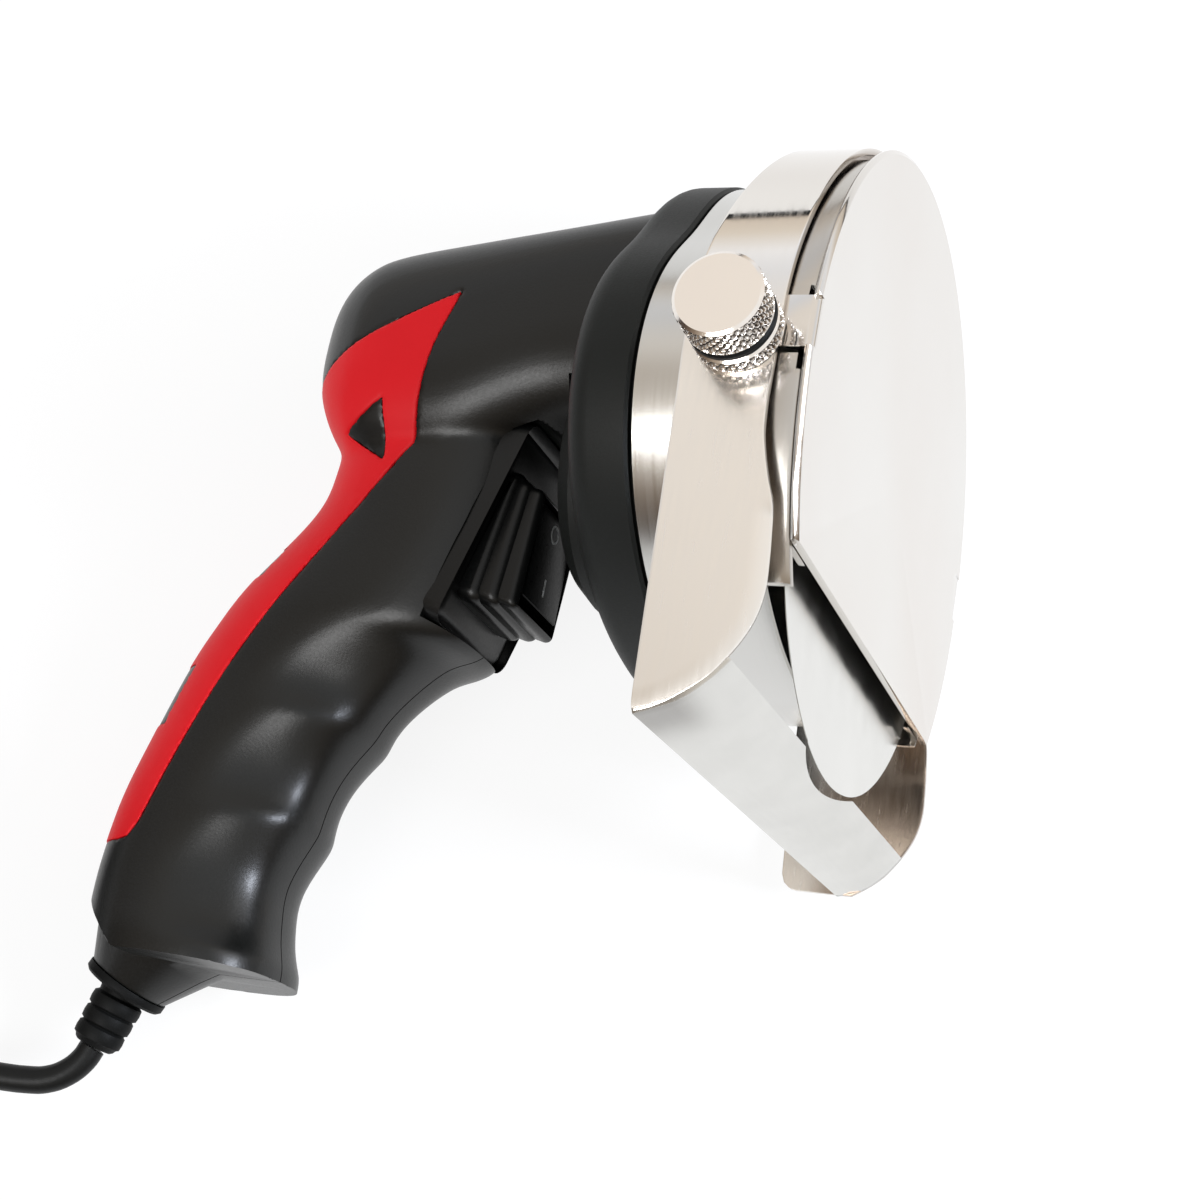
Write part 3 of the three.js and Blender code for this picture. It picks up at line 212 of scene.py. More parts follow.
def smooth_step(value, low, high):
    """Eases from 0 at a low value to 1 at a high one."""
    share = min(max((value - low) / (high - low), 0), 1)
    return share * share * (3 - 2 * share)


def signed_power(value, power):
    """A power that keeps the sign, for sections between an oval and a rectangle."""
    return math.copysign(abs(value) ** power, value)


def rectangle(start, end, low, high):
    """Corners of a rectangle."""
    return [(start, low), (end, low), (end, high), (start, high)]


def curve_points(points, steps):
    """Points of one smooth line through the given ones, which may have any number of values each."""
    last = len(points) - 1
    result = []
    for i in range(steps + 1):
        place = i / steps * last
        k = min(int(place), last - 1)
        t = place - k
        a, b, c, d = (Vector(points[min(max(k + j, 0), last)]) for j in (-1, 0, 1, 2))
        bend = (2 * a - 5 * b + 4 * c - d) * t ** 2 + (3 * b - a - 3 * c + d) * t ** 3
        result.append((2 * b + (c - a) * t + bend) / 2)
    return result


def arc_points(centre, radius, start, end, steps):
    """Points of an arc in a plane, from one angle to another in degrees."""
    result = []
    for i in range(steps + 1):
        angle = math.radians(start + (end - start) * i / steps)
        result.append((centre[0] + radius * math.cos(angle), centre[1] + radius * math.sin(angle)))
    return result


def outlined(name, points):
    """A flat face through points in millimetres."""
    deselect()
    bpy.ops.mesh.primitive_circle_add(vertices=len(points), radius=MM, fill_type="NGON")
    piece = bpy.context.object
    piece.name = name
    for vertex, point in zip(piece.data.vertices, points):
        vertex.co = Vector(point) * MM
    return piece


def pushed(name, points, along):
    """An outline pushed out along a vector into a closed solid."""
    piece = outlined(name, points)
    edit_all(piece)
    move = {"value": Vector(along) * MM}
    bpy.ops.mesh.extrude_region_move(TRANSFORM_OT_translate=move)
    return face_outward(piece)


def across(name, outline, half):
    """An outline in X and Z pushed to both sides of the middle plane."""
    return pushed(name, [(x, -half, z) for x, z in outline], (0, 2 * half, 0))


def lengthwise(name, outline, start, end):
    """An outline in Y and Z pushed along X."""
    return pushed(name, [(start, y, z) for y, z in outline], (end - start, 0, 0))


def turned(name, profile, steps=96):
    """A turned body: a line of X and radius drawn by extruding one vertex, then spun round the X axis."""
    deselect()
    bpy.ops.mesh.primitive_plane_add(size=MM)
    piece = bpy.context.object
    piece.name = name
    bpy.ops.object.mode_set(mode="EDIT")
    bpy.ops.mesh.select_all(action="SELECT")
    bpy.ops.mesh.merge(type="CENTER")
    points = [Vector((x, 0, radius)) * MM for x, radius in profile]
    bpy.ops.transform.translate(value=points[0])
    for here, there in zip(points, points[1:]):
        move = {"value": there - here}
        bpy.ops.mesh.extrude_vertices_move(TRANSFORM_OT_translate=move)
    bpy.ops.mesh.select_all(action="SELECT")
    bpy.ops.mesh.spin(steps=steps, angle=2 * math.pi, center=(0, 0, 0), axis=(1, 0, 0))
    return face_outward(piece)


def ring(name, profile, steps=96):
    """A turned body whose profile closes on itself off the axis."""
    return turned(name, [*profile, profile[0]], steps)


def rod(name, start, end, radius, y=0, z=0, steps=32):
    """A plain round cutter along X."""
    piece = turned(name, [(start, 0), (start, radius), (end, radius), (end, 0)], steps)
    piece.data.transform(Matrix.Translation(Vector((0, y, z)) * MM))
    return piece


def lofted(name, rings):
    """A closed skin over rings with equally many points, meshed directly as no operator follows stations."""
    count = len(rings[0])
    faces = []
    for i in range(len(rings) - 1):
        for k in range(count):
            here = i * count + k
            side = i * count + (k + 1) % count
            faces.append((here, side, side + count, here + count))
    faces.append(tuple(range(count)))
    faces.append(tuple(range((len(rings) - 1) * count, len(rings) * count)))
    mesh = bpy.data.meshes.new(name)
    mesh.from_pydata([point * MM for each in rings for point in each], [], faces)
    piece = bpy.data.objects.new(name, mesh)
    bpy.context.collection.objects.link(piece)
    return face_outward(piece)


def sliced(piece, at, away):
    """Cuts off what lies beyond a plane and closes the cut."""
    edit_all(piece)
    bpy.ops.mesh.bisect(plane_co=Vector(at) * MM, plane_no=away, use_fill=True, clear_outer=True)
    bpy.ops.object.mode_set(mode="OBJECT")
    return piece


def remeshed(piece, voxel, rounds):
    """Joins overlapping skins into one, and smooths its edges."""
    choose(piece)
    piece.data.remesh_voxel_size = voxel * MM
    piece.data.use_remesh_fix_poles = False
    bpy.ops.object.voxel_remesh()
    return modified(piece, "SMOOTH", factor=0.5, iterations=rounds)


def laid(piece, body, finish, slot, *nodes, lie=TOOL_AXES):
    """Puts a finished piece into the frame with its place in its mesh and its finish, hangs it under its
    body, and hides the solids it stands for.
    """
    piece.data.transform(lie)
    piece.data.materials.clear()
    piece.data.materials.append(FINISHES[finish])
    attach(piece, body)
    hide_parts(*nodes)
    return piece


# Materials


def linear(colour):
    """Linear colour of an sRGB hex value such as #d9151f."""
    parts = [int(colour[i:i + 2], 16) / 255 for i in (1, 3, 5)]
    return [p / 12.92 if p <= 0.04045 else ((p + 0.055) / 1.055) ** 2.4 for p in parts]


def opaque(values):
    """A linear colour with full opacity, as a node's socket takes it."""
    return (*values, 1)


def rgba(colour):
    """A hex colour as a node's socket takes it."""
    return opaque(linear(colour))


def tints(dark, pale):
    """Two hex colours between which a finish drifts."""
    return rgba(dark), rgba(pale)


def add_node(tree, kind, inputs, **settings):
    """Adds a node with its settings, and its inputs as values or as sockets to link."""
    made = tree.nodes.new(kind)
    for name, value in settings.items():
        setattr(made, name, value)
    for name, value in inputs.items():
        if isinstance(value, bpy.types.NodeSocket):
            tree.links.new(value, made.inputs[name])
        else:
            made.inputs[name].default_value = value
    return made


def new_finish(name, inputs):
    """A material with constants on the shader's own sockets, with its tree, shader and coordinates."""
    finish = bpy.data.materials.new(name)
    finish.use_nodes = True
    tree = finish.node_tree
    shader = tree.nodes["Principled BSDF"]
    for socket, value in inputs.items():
        shader.inputs[socket].default_value = value
    place = add_node(tree, "ShaderNodeTexCoord", {}).outputs["Object"]
    return finish, tree, shader, place


def grain(millimetres):
    """Noise scale whose grains have that size."""
    return 1 / (millimetres * MM)


def on_tool(tree, place):
    """Coordinates on the tool's own axes, from those on the table's."""
    return add_node(
        tree, "ShaderNodeMapping",
        {"Vector": place, "Location": ORIGIN, "Rotation": TOOL_TURN.to_euler()},
        vector_type="TEXTURE",
    ).outputs["Vector"]


def squeezed(tree, own, share):
    """Coordinates drawn out round the blade axis, which turn grains into streaks."""
    scale = (1, share, share)
    return add_node(tree, "ShaderNodeMapping", {"Vector": own, "Scale": scale}).outputs["Vector"]


def add_noise(tree, place, size, detail):
    """Noise with grains of a size in millimetres."""
    inputs = {"Vector": place, "Scale": grain(size), "Detail": detail}
    return add_node(tree, "ShaderNodeTexNoise", inputs).outputs["Fac"]


def add_mix(tree, share, first, second):
    """Mix of two colours."""
    inputs = {"Factor": share, 6: first, 7: second}
    return add_node(tree, "ShaderNodeMix", inputs, data_type="RGBA").outputs[2]


def add_range(tree, value, least, most, low=0, high=1):
    """A value drawn from one range onto another."""
    inputs = {"Value": value, "From Min": low, "From Max": high, "To Min": least, "To Max": most}
    return add_node(tree, "ShaderNodeMapRange", inputs).outputs["Result"]


def add_bump(tree, height, strength, distance):
    """Small relief in the shading, with its height in millimetres."""
    inputs = {"Height": height, "Strength": strength, "Distance": distance * MM}
    return add_node(tree, "ShaderNodeBump", inputs).outputs["Normal"]


def add_attribute(tree, name):
    """A value that a piece keeps for each of its points."""
    return add_node(tree, "ShaderNodeAttribute", {}, attribute_name=name).outputs["Fac"]


def feed(tree, shader, outputs):
    """Links outputs to the shader's sockets."""
    for socket, output in outputs.items():
        tree.links.new(output, shader.inputs[socket])


ABS_CLOUD = 14
ABS_SPREAD = 0.07
HAIR_SQUEEZE = 0.12
LATHE_SQUEEZE = 0.02
LATHE_FEED = 0.5
CAST_SPREAD = 0.1
WORN_ROUGHNESS = 0.16


def moulded_abs(name, shades, roughness, level, size=0.45):
    """Moulded ABS from a spark-eroded tool: a fine even grain, which breaks up the shine."""
    finish, tree, shader, place = new_finish(name, {"Specular IOR Level": level, "IOR": 1.5})
    spark = add_noise(tree, place, size, 2)
    feed(tree, shader, {
        "Base Color": add_mix(tree, add_noise(tree, place, ABS_CLOUD, 3), *shades),
        "Roughness": add_range(tree, spark, roughness - ABS_SPREAD, roughness + ABS_SPREAD),
        "Normal": add_bump(tree, spark, 0.22, 0.08),
    })
    return finish


def polished_stainless(name, shades, roughness, streak, cloud=22, mask="", masked="#ffffff"):
    """Stainless sheet, polished on a wheel: bright, with faint streaks and hairlines of handling.

    A mask attribute of the piece tells where the masked colour is mixed in: painted reflection, a darker warm
    grey, on the guide's inner side and the hood's top, a darker patch on the scoop by the near arm, and
    painted shade in the bottom of the knob's knurl grooves.
    """
    finish, tree, shader, place = new_finish(name, {"Metallic": 1})
    own = on_tool(tree, place)
    tint = add_mix(tree, add_noise(tree, own, cloud, 2), *shades)
    hair = add_noise(tree, squeezed(tree, own, HAIR_SQUEEZE), streak, 4)
    gloss = add_range(tree, hair, roughness - 0.03, roughness + 0.05, 0.3, 0.7)
    rough = add_node(
        tree, "ShaderNodeMath",
        {0: add_attribute(tree, "worn"), 1: WORN_ROUGHNESS, 2: gloss}, operation="MULTIPLY_ADD",
    )
    feed(tree, shader, {
        # The mask mixes in the masked colour: painted reflection, painted shade or a darker patch
        "Base Color": add_mix(tree, add_attribute(tree, mask), tint, rgba(masked)),
        "Roughness": rough.outputs["Value"],
        "Normal": add_bump(tree, hair, 0.03, 0.05),
    })
    return finish


def turned_aluminium(name, colour):
    """Aluminium as it leaves the lathe: fine rings round the axis, which draw out the highlights."""
    finish, tree, shader, place = new_finish(name, {"Metallic": 1, "Base Color": rgba(colour)})
    rings = add_noise(tree, squeezed(tree, on_tool(tree, place), LATHE_SQUEEZE), LATHE_FEED, 3)
    feed(tree, shader, {
        "Roughness": add_range(tree, rings, 0.18, 0.3),
        "Normal": add_bump(tree, rings, 0.05, 0.05),
    })
    return finish


def cast_metal(name, colour, roughness, size):
    """A plain metal of the inner works: even colour with a slightly uneven shine."""
    finish, tree, shader, place = new_finish(name, {"Metallic": 1, "Base Color": rgba(colour)})
    spots = add_noise(tree, place, size, 3)
    gloss = add_range(tree, spots, roughness - CAST_SPREAD, roughness + CAST_SPREAD)
    feed(tree, shader, {"Roughness": gloss})
    return finish


def make_plastics(colours):
    """Housing, inlay, switch, cord and the inner parts that are no metal."""
    housing = (opaque(colours.housing_dark), opaque(colours.housing_pale))
    inlay = (opaque(colours.inlay_dark), opaque(colours.inlay_pale))
    return {
        "body": moulded_abs("moulded_black_abs", housing, 0.34, 0.4),
        "collar": moulded_abs("painted_black_collar", tints("#131514", "#171918"), 0.5, 0.2, 0.35),
        "inlay": moulded_abs("soft_red_overmould", inlay, 0.5, 0.2, 0.4),
        "switch": moulded_abs("black_nylon_switch", tints("#070808", "#0a0b0b"), 0.34, 0.3, 0.6),
        "rocker": moulded_abs("black_rocker_polycarbonate", tints("#030404", "#050606"), 0.3, 0.06, 0.6),
        "mark": moulded_abs("pale_printed_mark", tints("#8d8f8e", "#9a9c9b"), 0.5, 0.3),
        "rubber": moulded_abs("black_rubber", tints("#080909", "#0c0d0d"), 0.55, 0.12, 0.3),
        "sheath": moulded_abs("black_pvc_sheath", tints("#0b0c0c", "#0f1010"), 0.42, 0.2, 0.5),
        "board": moulded_abs("green_circuit_board", tints("#244a30", "#2b5638"), 0.4, 0.5),
        "magnet": moulded_abs("sintered_magnet", tints("#2c2d30", "#34353a"), 0.6, 0.3),
    }


def make_metals():
    """Sheets, blade, knob, head and the metals of the inner works."""
    return {
        # Painted reflection: a darker warm grey on the guide's inner side and the hood's top
        "guide": polished_stainless(
            "polished_stainless_guide", tints("#ece8e3", "#f1eee9"), 0.07, 0.7,
            mask="painted_reflection", masked="#a3968a",
        ),
        # A darker patch on the scoop by the near arm, behind the cover's face
        "scoop": polished_stainless(
            "hand_finished_stainless", tints("#c6c5c1", "#e2e1dd"), 0.2, 0.5, 16,
            mask="near_arm_darkening", masked="#6f6b67",
        ),
        "cover": polished_stainless("polished_stainless_cover", tints("#dad2cb", "#e7e7e4"), 0.1, 0.5, 60),
        "skirt": polished_stainless("drawn_stainless_skirt", tints("#b8b4ae", "#cbc7c1"), 0.2, 0.7),
        "blade": polished_stainless("ground_knife_steel", tints("#d7d6d2", "#e0dfdb"), 0.18, 0.8),
        # Painted shade: dark in the bottom of the knob's knurl grooves
        "nickel": polished_stainless(
            "nickel_plated_steel", tints("#efe9e3", "#f4efe9"), 0.12, 0.4, mask="groove", masked="#37322d",
        ),
        "aluminium": turned_aluminium("turned_aluminium", "#cfcecb"),
        "iron": cast_metal("plain_steel", "#6d6e70", 0.4, 0.8),
        "brass": cast_metal("plain_brass", "#b99a55", 0.3, 0.8),
        "copper": cast_metal("wound_copper", "#b0703f", 0.35, 0.4),
    }


# Cord: the free stretch, the coil of its spare length and the tail to the plug, on the table's axes

CORD_R = 2.5
SKIN_ROOM = 0.2
CORD_START = (-63.4, -82.2, 13.7)
CORD_ROUTE = [
    (-64.3, -84.4, 13.5),
    (-66.6, -87.1, 13.1),
    (-69.6, -88.8, 12.6),
    (-72.4, -89.4, 12.1),
    (-80, -89.9, 10.7),
    (-92, -90.8, 8.4),
    (-106, -91.7, 5.9),
    (-118, -92, 4.2),
    (-126, -92, 3.6),
]
TAIL_ROUTE = [
    (-177.3, -40, 9.1),
    (-176, -30, 8.9),
    (-173, -19, 8.5),
    (-168.4, -8, 7.9),
    (-163.8, 2, 7.3),
    (-160.8, 11, 7),
]
COIL_AT = Vector((-137, -51.5, 3.6))
COIL_TURNS = 7.25
COIL_PITCH = 5.6
COIL_INNER = 19.5
COIL_STEPS = 24
PLUG_AT = Vector((-160, 20, 6.9))
PLUG_FACE = 34
PLUG_STATIONS = [
    (0, 4.3, 4.1),
    (1, 4.4, 4.2),
    (10, 5, 4.6),
    (14, 7.4, 5.4),
    (17, 11, 6.4),
    (22, 15.2, 6.9),
    (28, 16.8, 6.9),
    (PLUG_FACE - 0.6, 17.6, 6.9),
    (PLUG_FACE, 17.1, 6.4),
]
PLUG_POINTS = 48
PLUG_SQUARE = 4
PIN_APART = 18.6
PIN_LONG = 19
PIN_R = 1.9
PIN_SLEEVE_LONG = 10
COIL_CROSSING = 0.25
STRAP_T = 0.8
STRAP_HALF = 3
STRAP_TURN = 135


def coil_point(turns):
    """A point of the coil, which winds in on the table, crosses up and winds out on top."""
    from_middle = turns - COIL_TURNS / 2
    radius = COIL_INNER + COIL_PITCH * abs(from_middle)
    angle = -math.pi / 2 - 2 * math.pi * turns
    rise = COIL_PITCH * smooth_step(from_middle, -COIL_CROSSING, COIL_CROSSING)
    return COIL_AT + Vector((radius * math.cos(angle), radius * math.sin(angle), rise))


def make_cord():
    """The whole cord as one round curve."""
    count = round(COIL_TURNS * COIL_STEPS)
    coil = [coil_point(i / COIL_STEPS) for i in range(count + 1)]
    route = [CORD_START, *CORD_ROUTE, *coil, *TAIL_ROUTE, PLUG_AT + Vector((0, 2, 0))]
    deselect()
    bpy.ops.curve.primitive_bezier_curve_add()
    cord = bpy.context.object
    cord.name = "mains_cord"
    spline = cord.data.splines[0]
    spline.bezier_points.add(len(route) - 2)
    for knot, point in zip(spline.bezier_points, route):
        knot.co = Vector(point) * MM
        knot.handle_left_type = "AUTO"
        knot.handle_right_type = "AUTO"
    spline.resolution_u = 4
    cord.data.bevel_depth = (CORD_R - SKIN_ROOM) * MM
    cord.data.bevel_resolution = 6
    cord.data.use_fill_caps = True
    cord.location = (0, 0, 0)
    cord.data.materials.append(FINISHES["sheath"])
    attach(cord, "tool_body")
    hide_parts("cord_free", "cord_coil", "cord_tail")
    return cord


def plug_ring(station):
    """Section of the plug: how far along, half width and half height."""
    along, wide, high = station
    points = []
    for k in range(PLUG_POINTS):
        angle = 2 * math.pi * k / PLUG_POINTS
        c = signed_power(math.cos(angle), 2 / PLUG_SQUARE)
        s = signed_power(math.sin(angle), 2 / PLUG_SQUARE)
        points.append(PLUG_AT + Vector((wide * c, along, high * s)))
    return points


def make_pin(name):
    """A round contact with an insulated root and an eased tip."""
    root = PLUG_FACE - 1
    sleeve = PLUG_FACE + PIN_SLEEVE_LONG
    end = PLUG_FACE + PIN_LONG
    profile = [(root, 0), (root, PIN_R + 0.1), (sleeve, PIN_R + 0.1), (sleeve + 0.2, PIN_R)]
    profile += [(end - 1.6, PIN_R), (end, PIN_R - 1), (end, 0)]
    return shaded(turned(name, profile, 32), 30)


def make_plug():
    """The moulded plug with its two contacts."""
    still = Matrix.Identity(4)
    plug = lofted("plug_moulding", [plug_ring(s) for s in curve_points(PLUG_STATIONS, 40)])
    shaded(plug, 40)
    laid(plug, "tool_body", "sheath", "cord_sheath", "plug_body", lie=still)
    pins = []
    for i, side in enumerate((-1, 1)):
        pin = make_pin(f"plug_contact_{i + 1}")
        place = PLUG_AT + Vector((side * PIN_APART / 2, 0, 0))
        stand = Matrix.Translation(place * MM) @ Matrix.Rotation(math.pi / 2, 4, "Z")
        laid(pin, "tool_body", "nickel", "brass", f"plug_pin_{i + 1}", lie=stand)
        pins.append(pin)
    return [plug, *pins]


def make_tie():
    """Flat hook-and-loop strap round the coil's turns."""
    inner = COIL_INNER - CORD_R - 2
    outer = COIL_INNER + COIL_PITCH * COIL_TURNS / 2 + CORD_R + 1
    top = COIL_AT.z + COIL_PITCH + CORD_R + FIT
    outline = rectangle(inner - STRAP_T, outer + STRAP_T, 0, top + STRAP_T)
    strap = across("cord_strap", outline, STRAP_HALF)
    cut(strap, across("strap_room", rectangle(inner, outer, STRAP_T, top), STRAP_HALF + 2))
    eased(strap, 0.35)
    shaded(strap)
    middle = Matrix.Translation(Vector((COIL_AT.x, COIL_AT.y, 0)) * MM)
    place = middle @ Matrix.Rotation(math.radians(STRAP_TURN), 4, "Z")
    return laid(strap, "tool_body", "rubber", "black_plastic", "cord_tie", lie=place)


# Strain relief: a flange under the foot of the grip and a ribbed sleeve

RELIEF_AT = Vector((-119.3, 0, -93.4))
RELIEF_LEAN = 18
RELIEF_LONG = 14
RELIEF_ROOT = -11
RELIEF_R = 4.6
RELIEF_SEAT = (-20, 4, 5)
RIBS = 3
RIB_START = 5.2
RIB_PITCH = 2.7
RIB_R = 4.5
RIB_TAPER = 0.1
# Points of one rib: how far along, and how far below its top
RIB_SHAPE = ((0, 0.5), (0.3, 0.1), (1.3, 0), (2.3, 0.1), (2.55, 0.5))
FLANGE_AT = Vector((-119.9, 0, -95.4))
FLANGE_LEAN = 26.5
FLANGE_R = 7.5
FLANGE_T = 1.7
FLANGE_BORE = 3.4
FLANGE_EASE = 0.5
# Rings of the foot's cone: how far up and forward of the flange, and radius
PLINTH_RINGS = ((0.15, 0, 7.3), (7.4, 0.2, 11.4), (13, 3, 12.4))


def leaning(at, degrees):
    """Axes at a place in millimetres whose X runs down and, by an angle, to the rear."""
    return Matrix.Translation(at) @ Matrix.Rotation(math.pi / 2 + math.radians(degrees), 4, "Y")


def lean_piece(piece, at, degrees):
    """Moves a piece from the X axis onto leaning axes."""
    piece.data.transform(Matrix.Scale(MM, 4) @ leaning(at, degrees) @ Matrix.Scale(1 / MM, 4))
    return piece


def make_relief():
    """Ribbed sleeve with its flange."""
    bore = CORD_R - 0.1
    profile = [(RELIEF_ROOT, bore), (RELIEF_ROOT, RELIEF_R), (2, RELIEF_R), (3.6, 4), (5, 3.8)]
    for i in range(RIBS):
        start = RIB_START + RIB_PITCH * i
        full = RIB_R - RIB_TAPER * i
        profile += [(start + along, full - below) for along, below in RIB_SHAPE]
    profile += [(RELIEF_LONG - 0.3, 3.5), (RELIEF_LONG, 3.1), (RELIEF_LONG, bore)]
    sleeve = lean_piece(ring("relief_sleeve", profile, 64), RELIEF_AT, RELIEF_LEAN)
    rim = [(0, FLANGE_BORE), (0, FLANGE_R), (FLANGE_T - FLANGE_EASE, FLANGE_R)]
    rim += [(FLANGE_T, FLANGE_R - FLANGE_EASE), (FLANGE_T, FLANGE_BORE)]
    flange = lean_piece(ring("relief_flange", rim, 64), FLANGE_AT, FLANGE_LEAN)
    cut(sleeve, flange, "UNION")
    eased(sleeve, 0.15, 2, 35)
    shaded(sleeve, 40)
    return laid(sleeve, "tool_body", "rubber", "black_rubber", "strain_relief")


def make_plinth():
    """The foot's cone down to the relief, flush with the grip's back."""
    axes = leaning(FLANGE_AT, FLANGE_LEAN)
    rings = []
    for up, forward, radius in PLINTH_RINGS:
        circle = arc_points((0, forward), radius, 0, 360, 72)[:-1]
        rings.append([axes @ Vector((-up, y, z)) for y, z in circle])
    return lofted("cord_plinth", rings)


# Housing: stations of barrel and grip, each two points of the outline and the half width there

BARREL_STATIONS = [
    (-36, 48.3, -36, 3, 23),
    (-38.8, 47.8, -38.8, 3, 23),
    (-56, 44.5, -56, 3.4, 23),
    (-74, 41.8, -74, -4, 23),
    (-90, 39, -90, -5, 22.4),
    (-96.2, 36.9, -96.4, -2, 20.6),
    (-101, 33.3, -101, 3.4, 17),
    (-104.5, 28.4, -104.4, 9.6, 11.5),
    (-106.2, 22.8, -106.2, 15.6, 4.5),
]
GRIP_STATIONS = [
    (-94.5, 16, -62, 10, 18),
    (-98.6, 0, -60, -4, 18),
    (-101, -11.5, -62, -18, 17.5),
    (-111.9, -25.7, -66, -32, 17),
    (-116.1, -33.6, -73.4, -36.4, 16.5),
    (-119.5, -41.7, -81.4, -46.2, 16),
    (-123.4, -55.2, -86.9, -55.5, 15.8),
    (-126.1, -66.2, -89.8, -65.3, 15.8),
    (-126.9, -77, -93, -75.5, 16),
    (-126.7, -84, -92.4, -83, 16.4),
    (-126.1, -88.2, -91.4, -89, 16.8),
    (-125.3, -92, -91.2, -93, 16.6),
    (-124.4, -96, -91.4, -97, 16),
]
RING_POINTS = 56
BARREL_SQUARE = 3
GRIP_SQUARE = 2.6
FORM_VOXEL = 0.9
SHELL_VOXEL = 0.6
INLAY_VOXEL = 0.5
WALL = 2.6
INLAY_T = 1.6
INLAY_PROUD = 0.15
BASE_Z = -92
FINGER_LIPS = (-33, -49, -66, -89.5)
GROOVE_EASE = 1.4
GROOVE_STEEP = 0.7
GROOVE_FULL = 3.8
GROOVE_DEPTH = 0.9
GROOVE_PINCH = 0.15
SEAM = 0.26
RECESS_T = 1.9
FOOT_HEEL = (-126.6, 0, -81.7)
FOOT_TILT = Vector((-0.65, 0, -0.76))
# Outline of the inlay seen from the side: upper edge, beyond the grip's back, lower edge and front end
INLAY_UPPER = [(-74.6, 25), (-88, 18.4), (-98, 12.4), (-106, 6.6), (-124, -9)]
INLAY_BEYOND = [(-140, -30), (-140, -74), (-119.6, -74), (-117.6, -73.4)]
INLAY_LOWER = [(-116.1, -71), (-112.1, -58), (-106.3, -43), (-99.4, -30.2), (-90.2, -16.4), (-81.2, -3.4)]
INLAY_FRONT = [(-79.4, -1.4), (-78.6, 7), (-77.4, 15), (-74.9, 23)]
INLAY_HALF = 26
TRIANGLE = [(-85.6, 5.6), (-93.2, 0.1), (-84.8, -4.6)]
SPINE_WINDOWS = ((-25, -19.5), (-53, -42))
SPINE_REACH = (-150, -100)
SPINE_HALF = 13

# Switch panel: its places are given along it, downward, and out of it
SWITCH_AT = Vector((-67.6, 0, -11.7))
PANEL_LEAN = math.atan2(0.28, 0.96)
PANEL_DOWN = Vector((-math.sin(PANEL_LEAN), 0, -math.cos(PANEL_LEAN)))
PANEL_AWAY = Vector((math.cos(PANEL_LEAN), 0, -math.sin(PANEL_LEAN)))
PANEL_REACH = 40
FRAME_TOP = -18
FRAME_LOW = 20
FRAME_HALF = 14.8
FRAME_EASE = 0.45
# Steps of the frame on the panel: top and bottom end, how far out there, half width and corner
FRAME_STEPS = (
    (FRAME_TOP, FRAME_LOW, 1.4, 2.4, FRAME_HALF, 3),
    (-10, 14.2, 3.4, 6.6, 11, 2.4),
    (-9.4, 13.4, 5.6, 9.9, 10.2, 2.2),
    (-8.8, 12.5, 7.8, 12.8, 9.4, 1.6),
)
SWITCH_HOLE = (-9, 11, -12, 3)
SWITCH_HOLE_HALF = 9
ROCKER_TOP = (-7.4, 7.3)
ROCKER_MIDDLE = (1, 9.8)
ROCKER_LOW = (9.4, 12.2)
ROCKER_UNDER = [(ROCKER_LOW[0], 5), (4.6, 2), (-3.6, 1), (ROCKER_TOP[0], 1.6)]
ROCKER_SWING = 2
ROCKER_HALF = 7.8
ROCKER_FIT = 0.4
ROCKER_ROOM = (-5, 20)
MARK_T = 0.06
STROKE = (3.8, 6.8)
STROKE_HALF = 0.28
CIRCLE_ALONG = -4.2
CIRCLE_INNER = 1.25
CIRCLE_OUTER = 1.7


def finger_groove(z):
    """How deep the finger grooves are at a height, from 0 to 1: easing in below a lip, steep at the next."""
    for top, low in zip(FINGER_LIPS, FINGER_LIPS[1:]):
        if low < z < top:
            share = (top - z) / (top - low)
            return GROOVE_FULL * share ** GROOVE_EASE * (1 - share) ** GROOVE_STEEP
    return 0


def section_ring(station, square, inset, grooved):
    """Rounded section between two points of the middle plane."""
    a = Vector((station[0], 0, station[1]))
    b = Vector((station[2], 0, station[3]))
    inward = (b - a).normalized() * inset
    a += inward
    b -= inward
    middle = (a + b) / 2
    reach = (b - a) / 2
    depth = finger_groove(b.z) if grooved else 0
    points = []
    for k in range(RING_POINTS):
        angle = 2 * math.pi * k / RING_POINTS
        along = signed_power(math.cos(angle), 2 / square)
        aside = (station[4] - inset) * signed_power(math.sin(angle), 2 / square)
        front = smooth_step(along, 0, 0.7)
        pinch = 1 - GROOVE_PINCH * depth * front * (1 - 0.5 * smooth_step(along, 0.8, 1))
        point = middle + along * reach - reach.normalized() * GROOVE_DEPTH * depth * front
        points.append(point + Vector((0, aside * pinch, 0)))
    return points


def housing_form(name, inset, grooved):
    """Barrel and grip as two overlapping skins."""
    barrel = curve_points(BARREL_STATIONS, 6 * (len(BARREL_STATIONS) - 1))
    grip = curve_points(GRIP_STATIONS, 8 * (len(GRIP_STATIONS) - 1))
    upper = lofted(name, [section_ring(s, BARREL_SQUARE, inset, False) for s in barrel])
    lower = lofted(name + "_grip", [section_ring(s, GRIP_SQUARE, inset, grooved) for s in grip])
    return upper, lower


def on_panel(along, out):
    """A point of the switch panel in the middle plane."""
    at = SWITCH_AT + PANEL_DOWN * along + PANEL_AWAY * out
    return (at.x, at.z)


def panel_prism(name, points, half):
    """An outline on the switch panel pushed to both sides of the middle plane."""
    return across(name, [on_panel(*point) for point in points], half)


def inlay_outline():
    """Area of the red inlay seen from the side."""
    upper = [tuple(p) for p in curve_points(INLAY_UPPER, 16)]
    lower = [tuple(p) for p in curve_points(INLAY_LOWER, 20)]
    front = [tuple(p) for p in curve_points(INLAY_FRONT, 12)]
    return upper + INLAY_BEYOND + lower + front


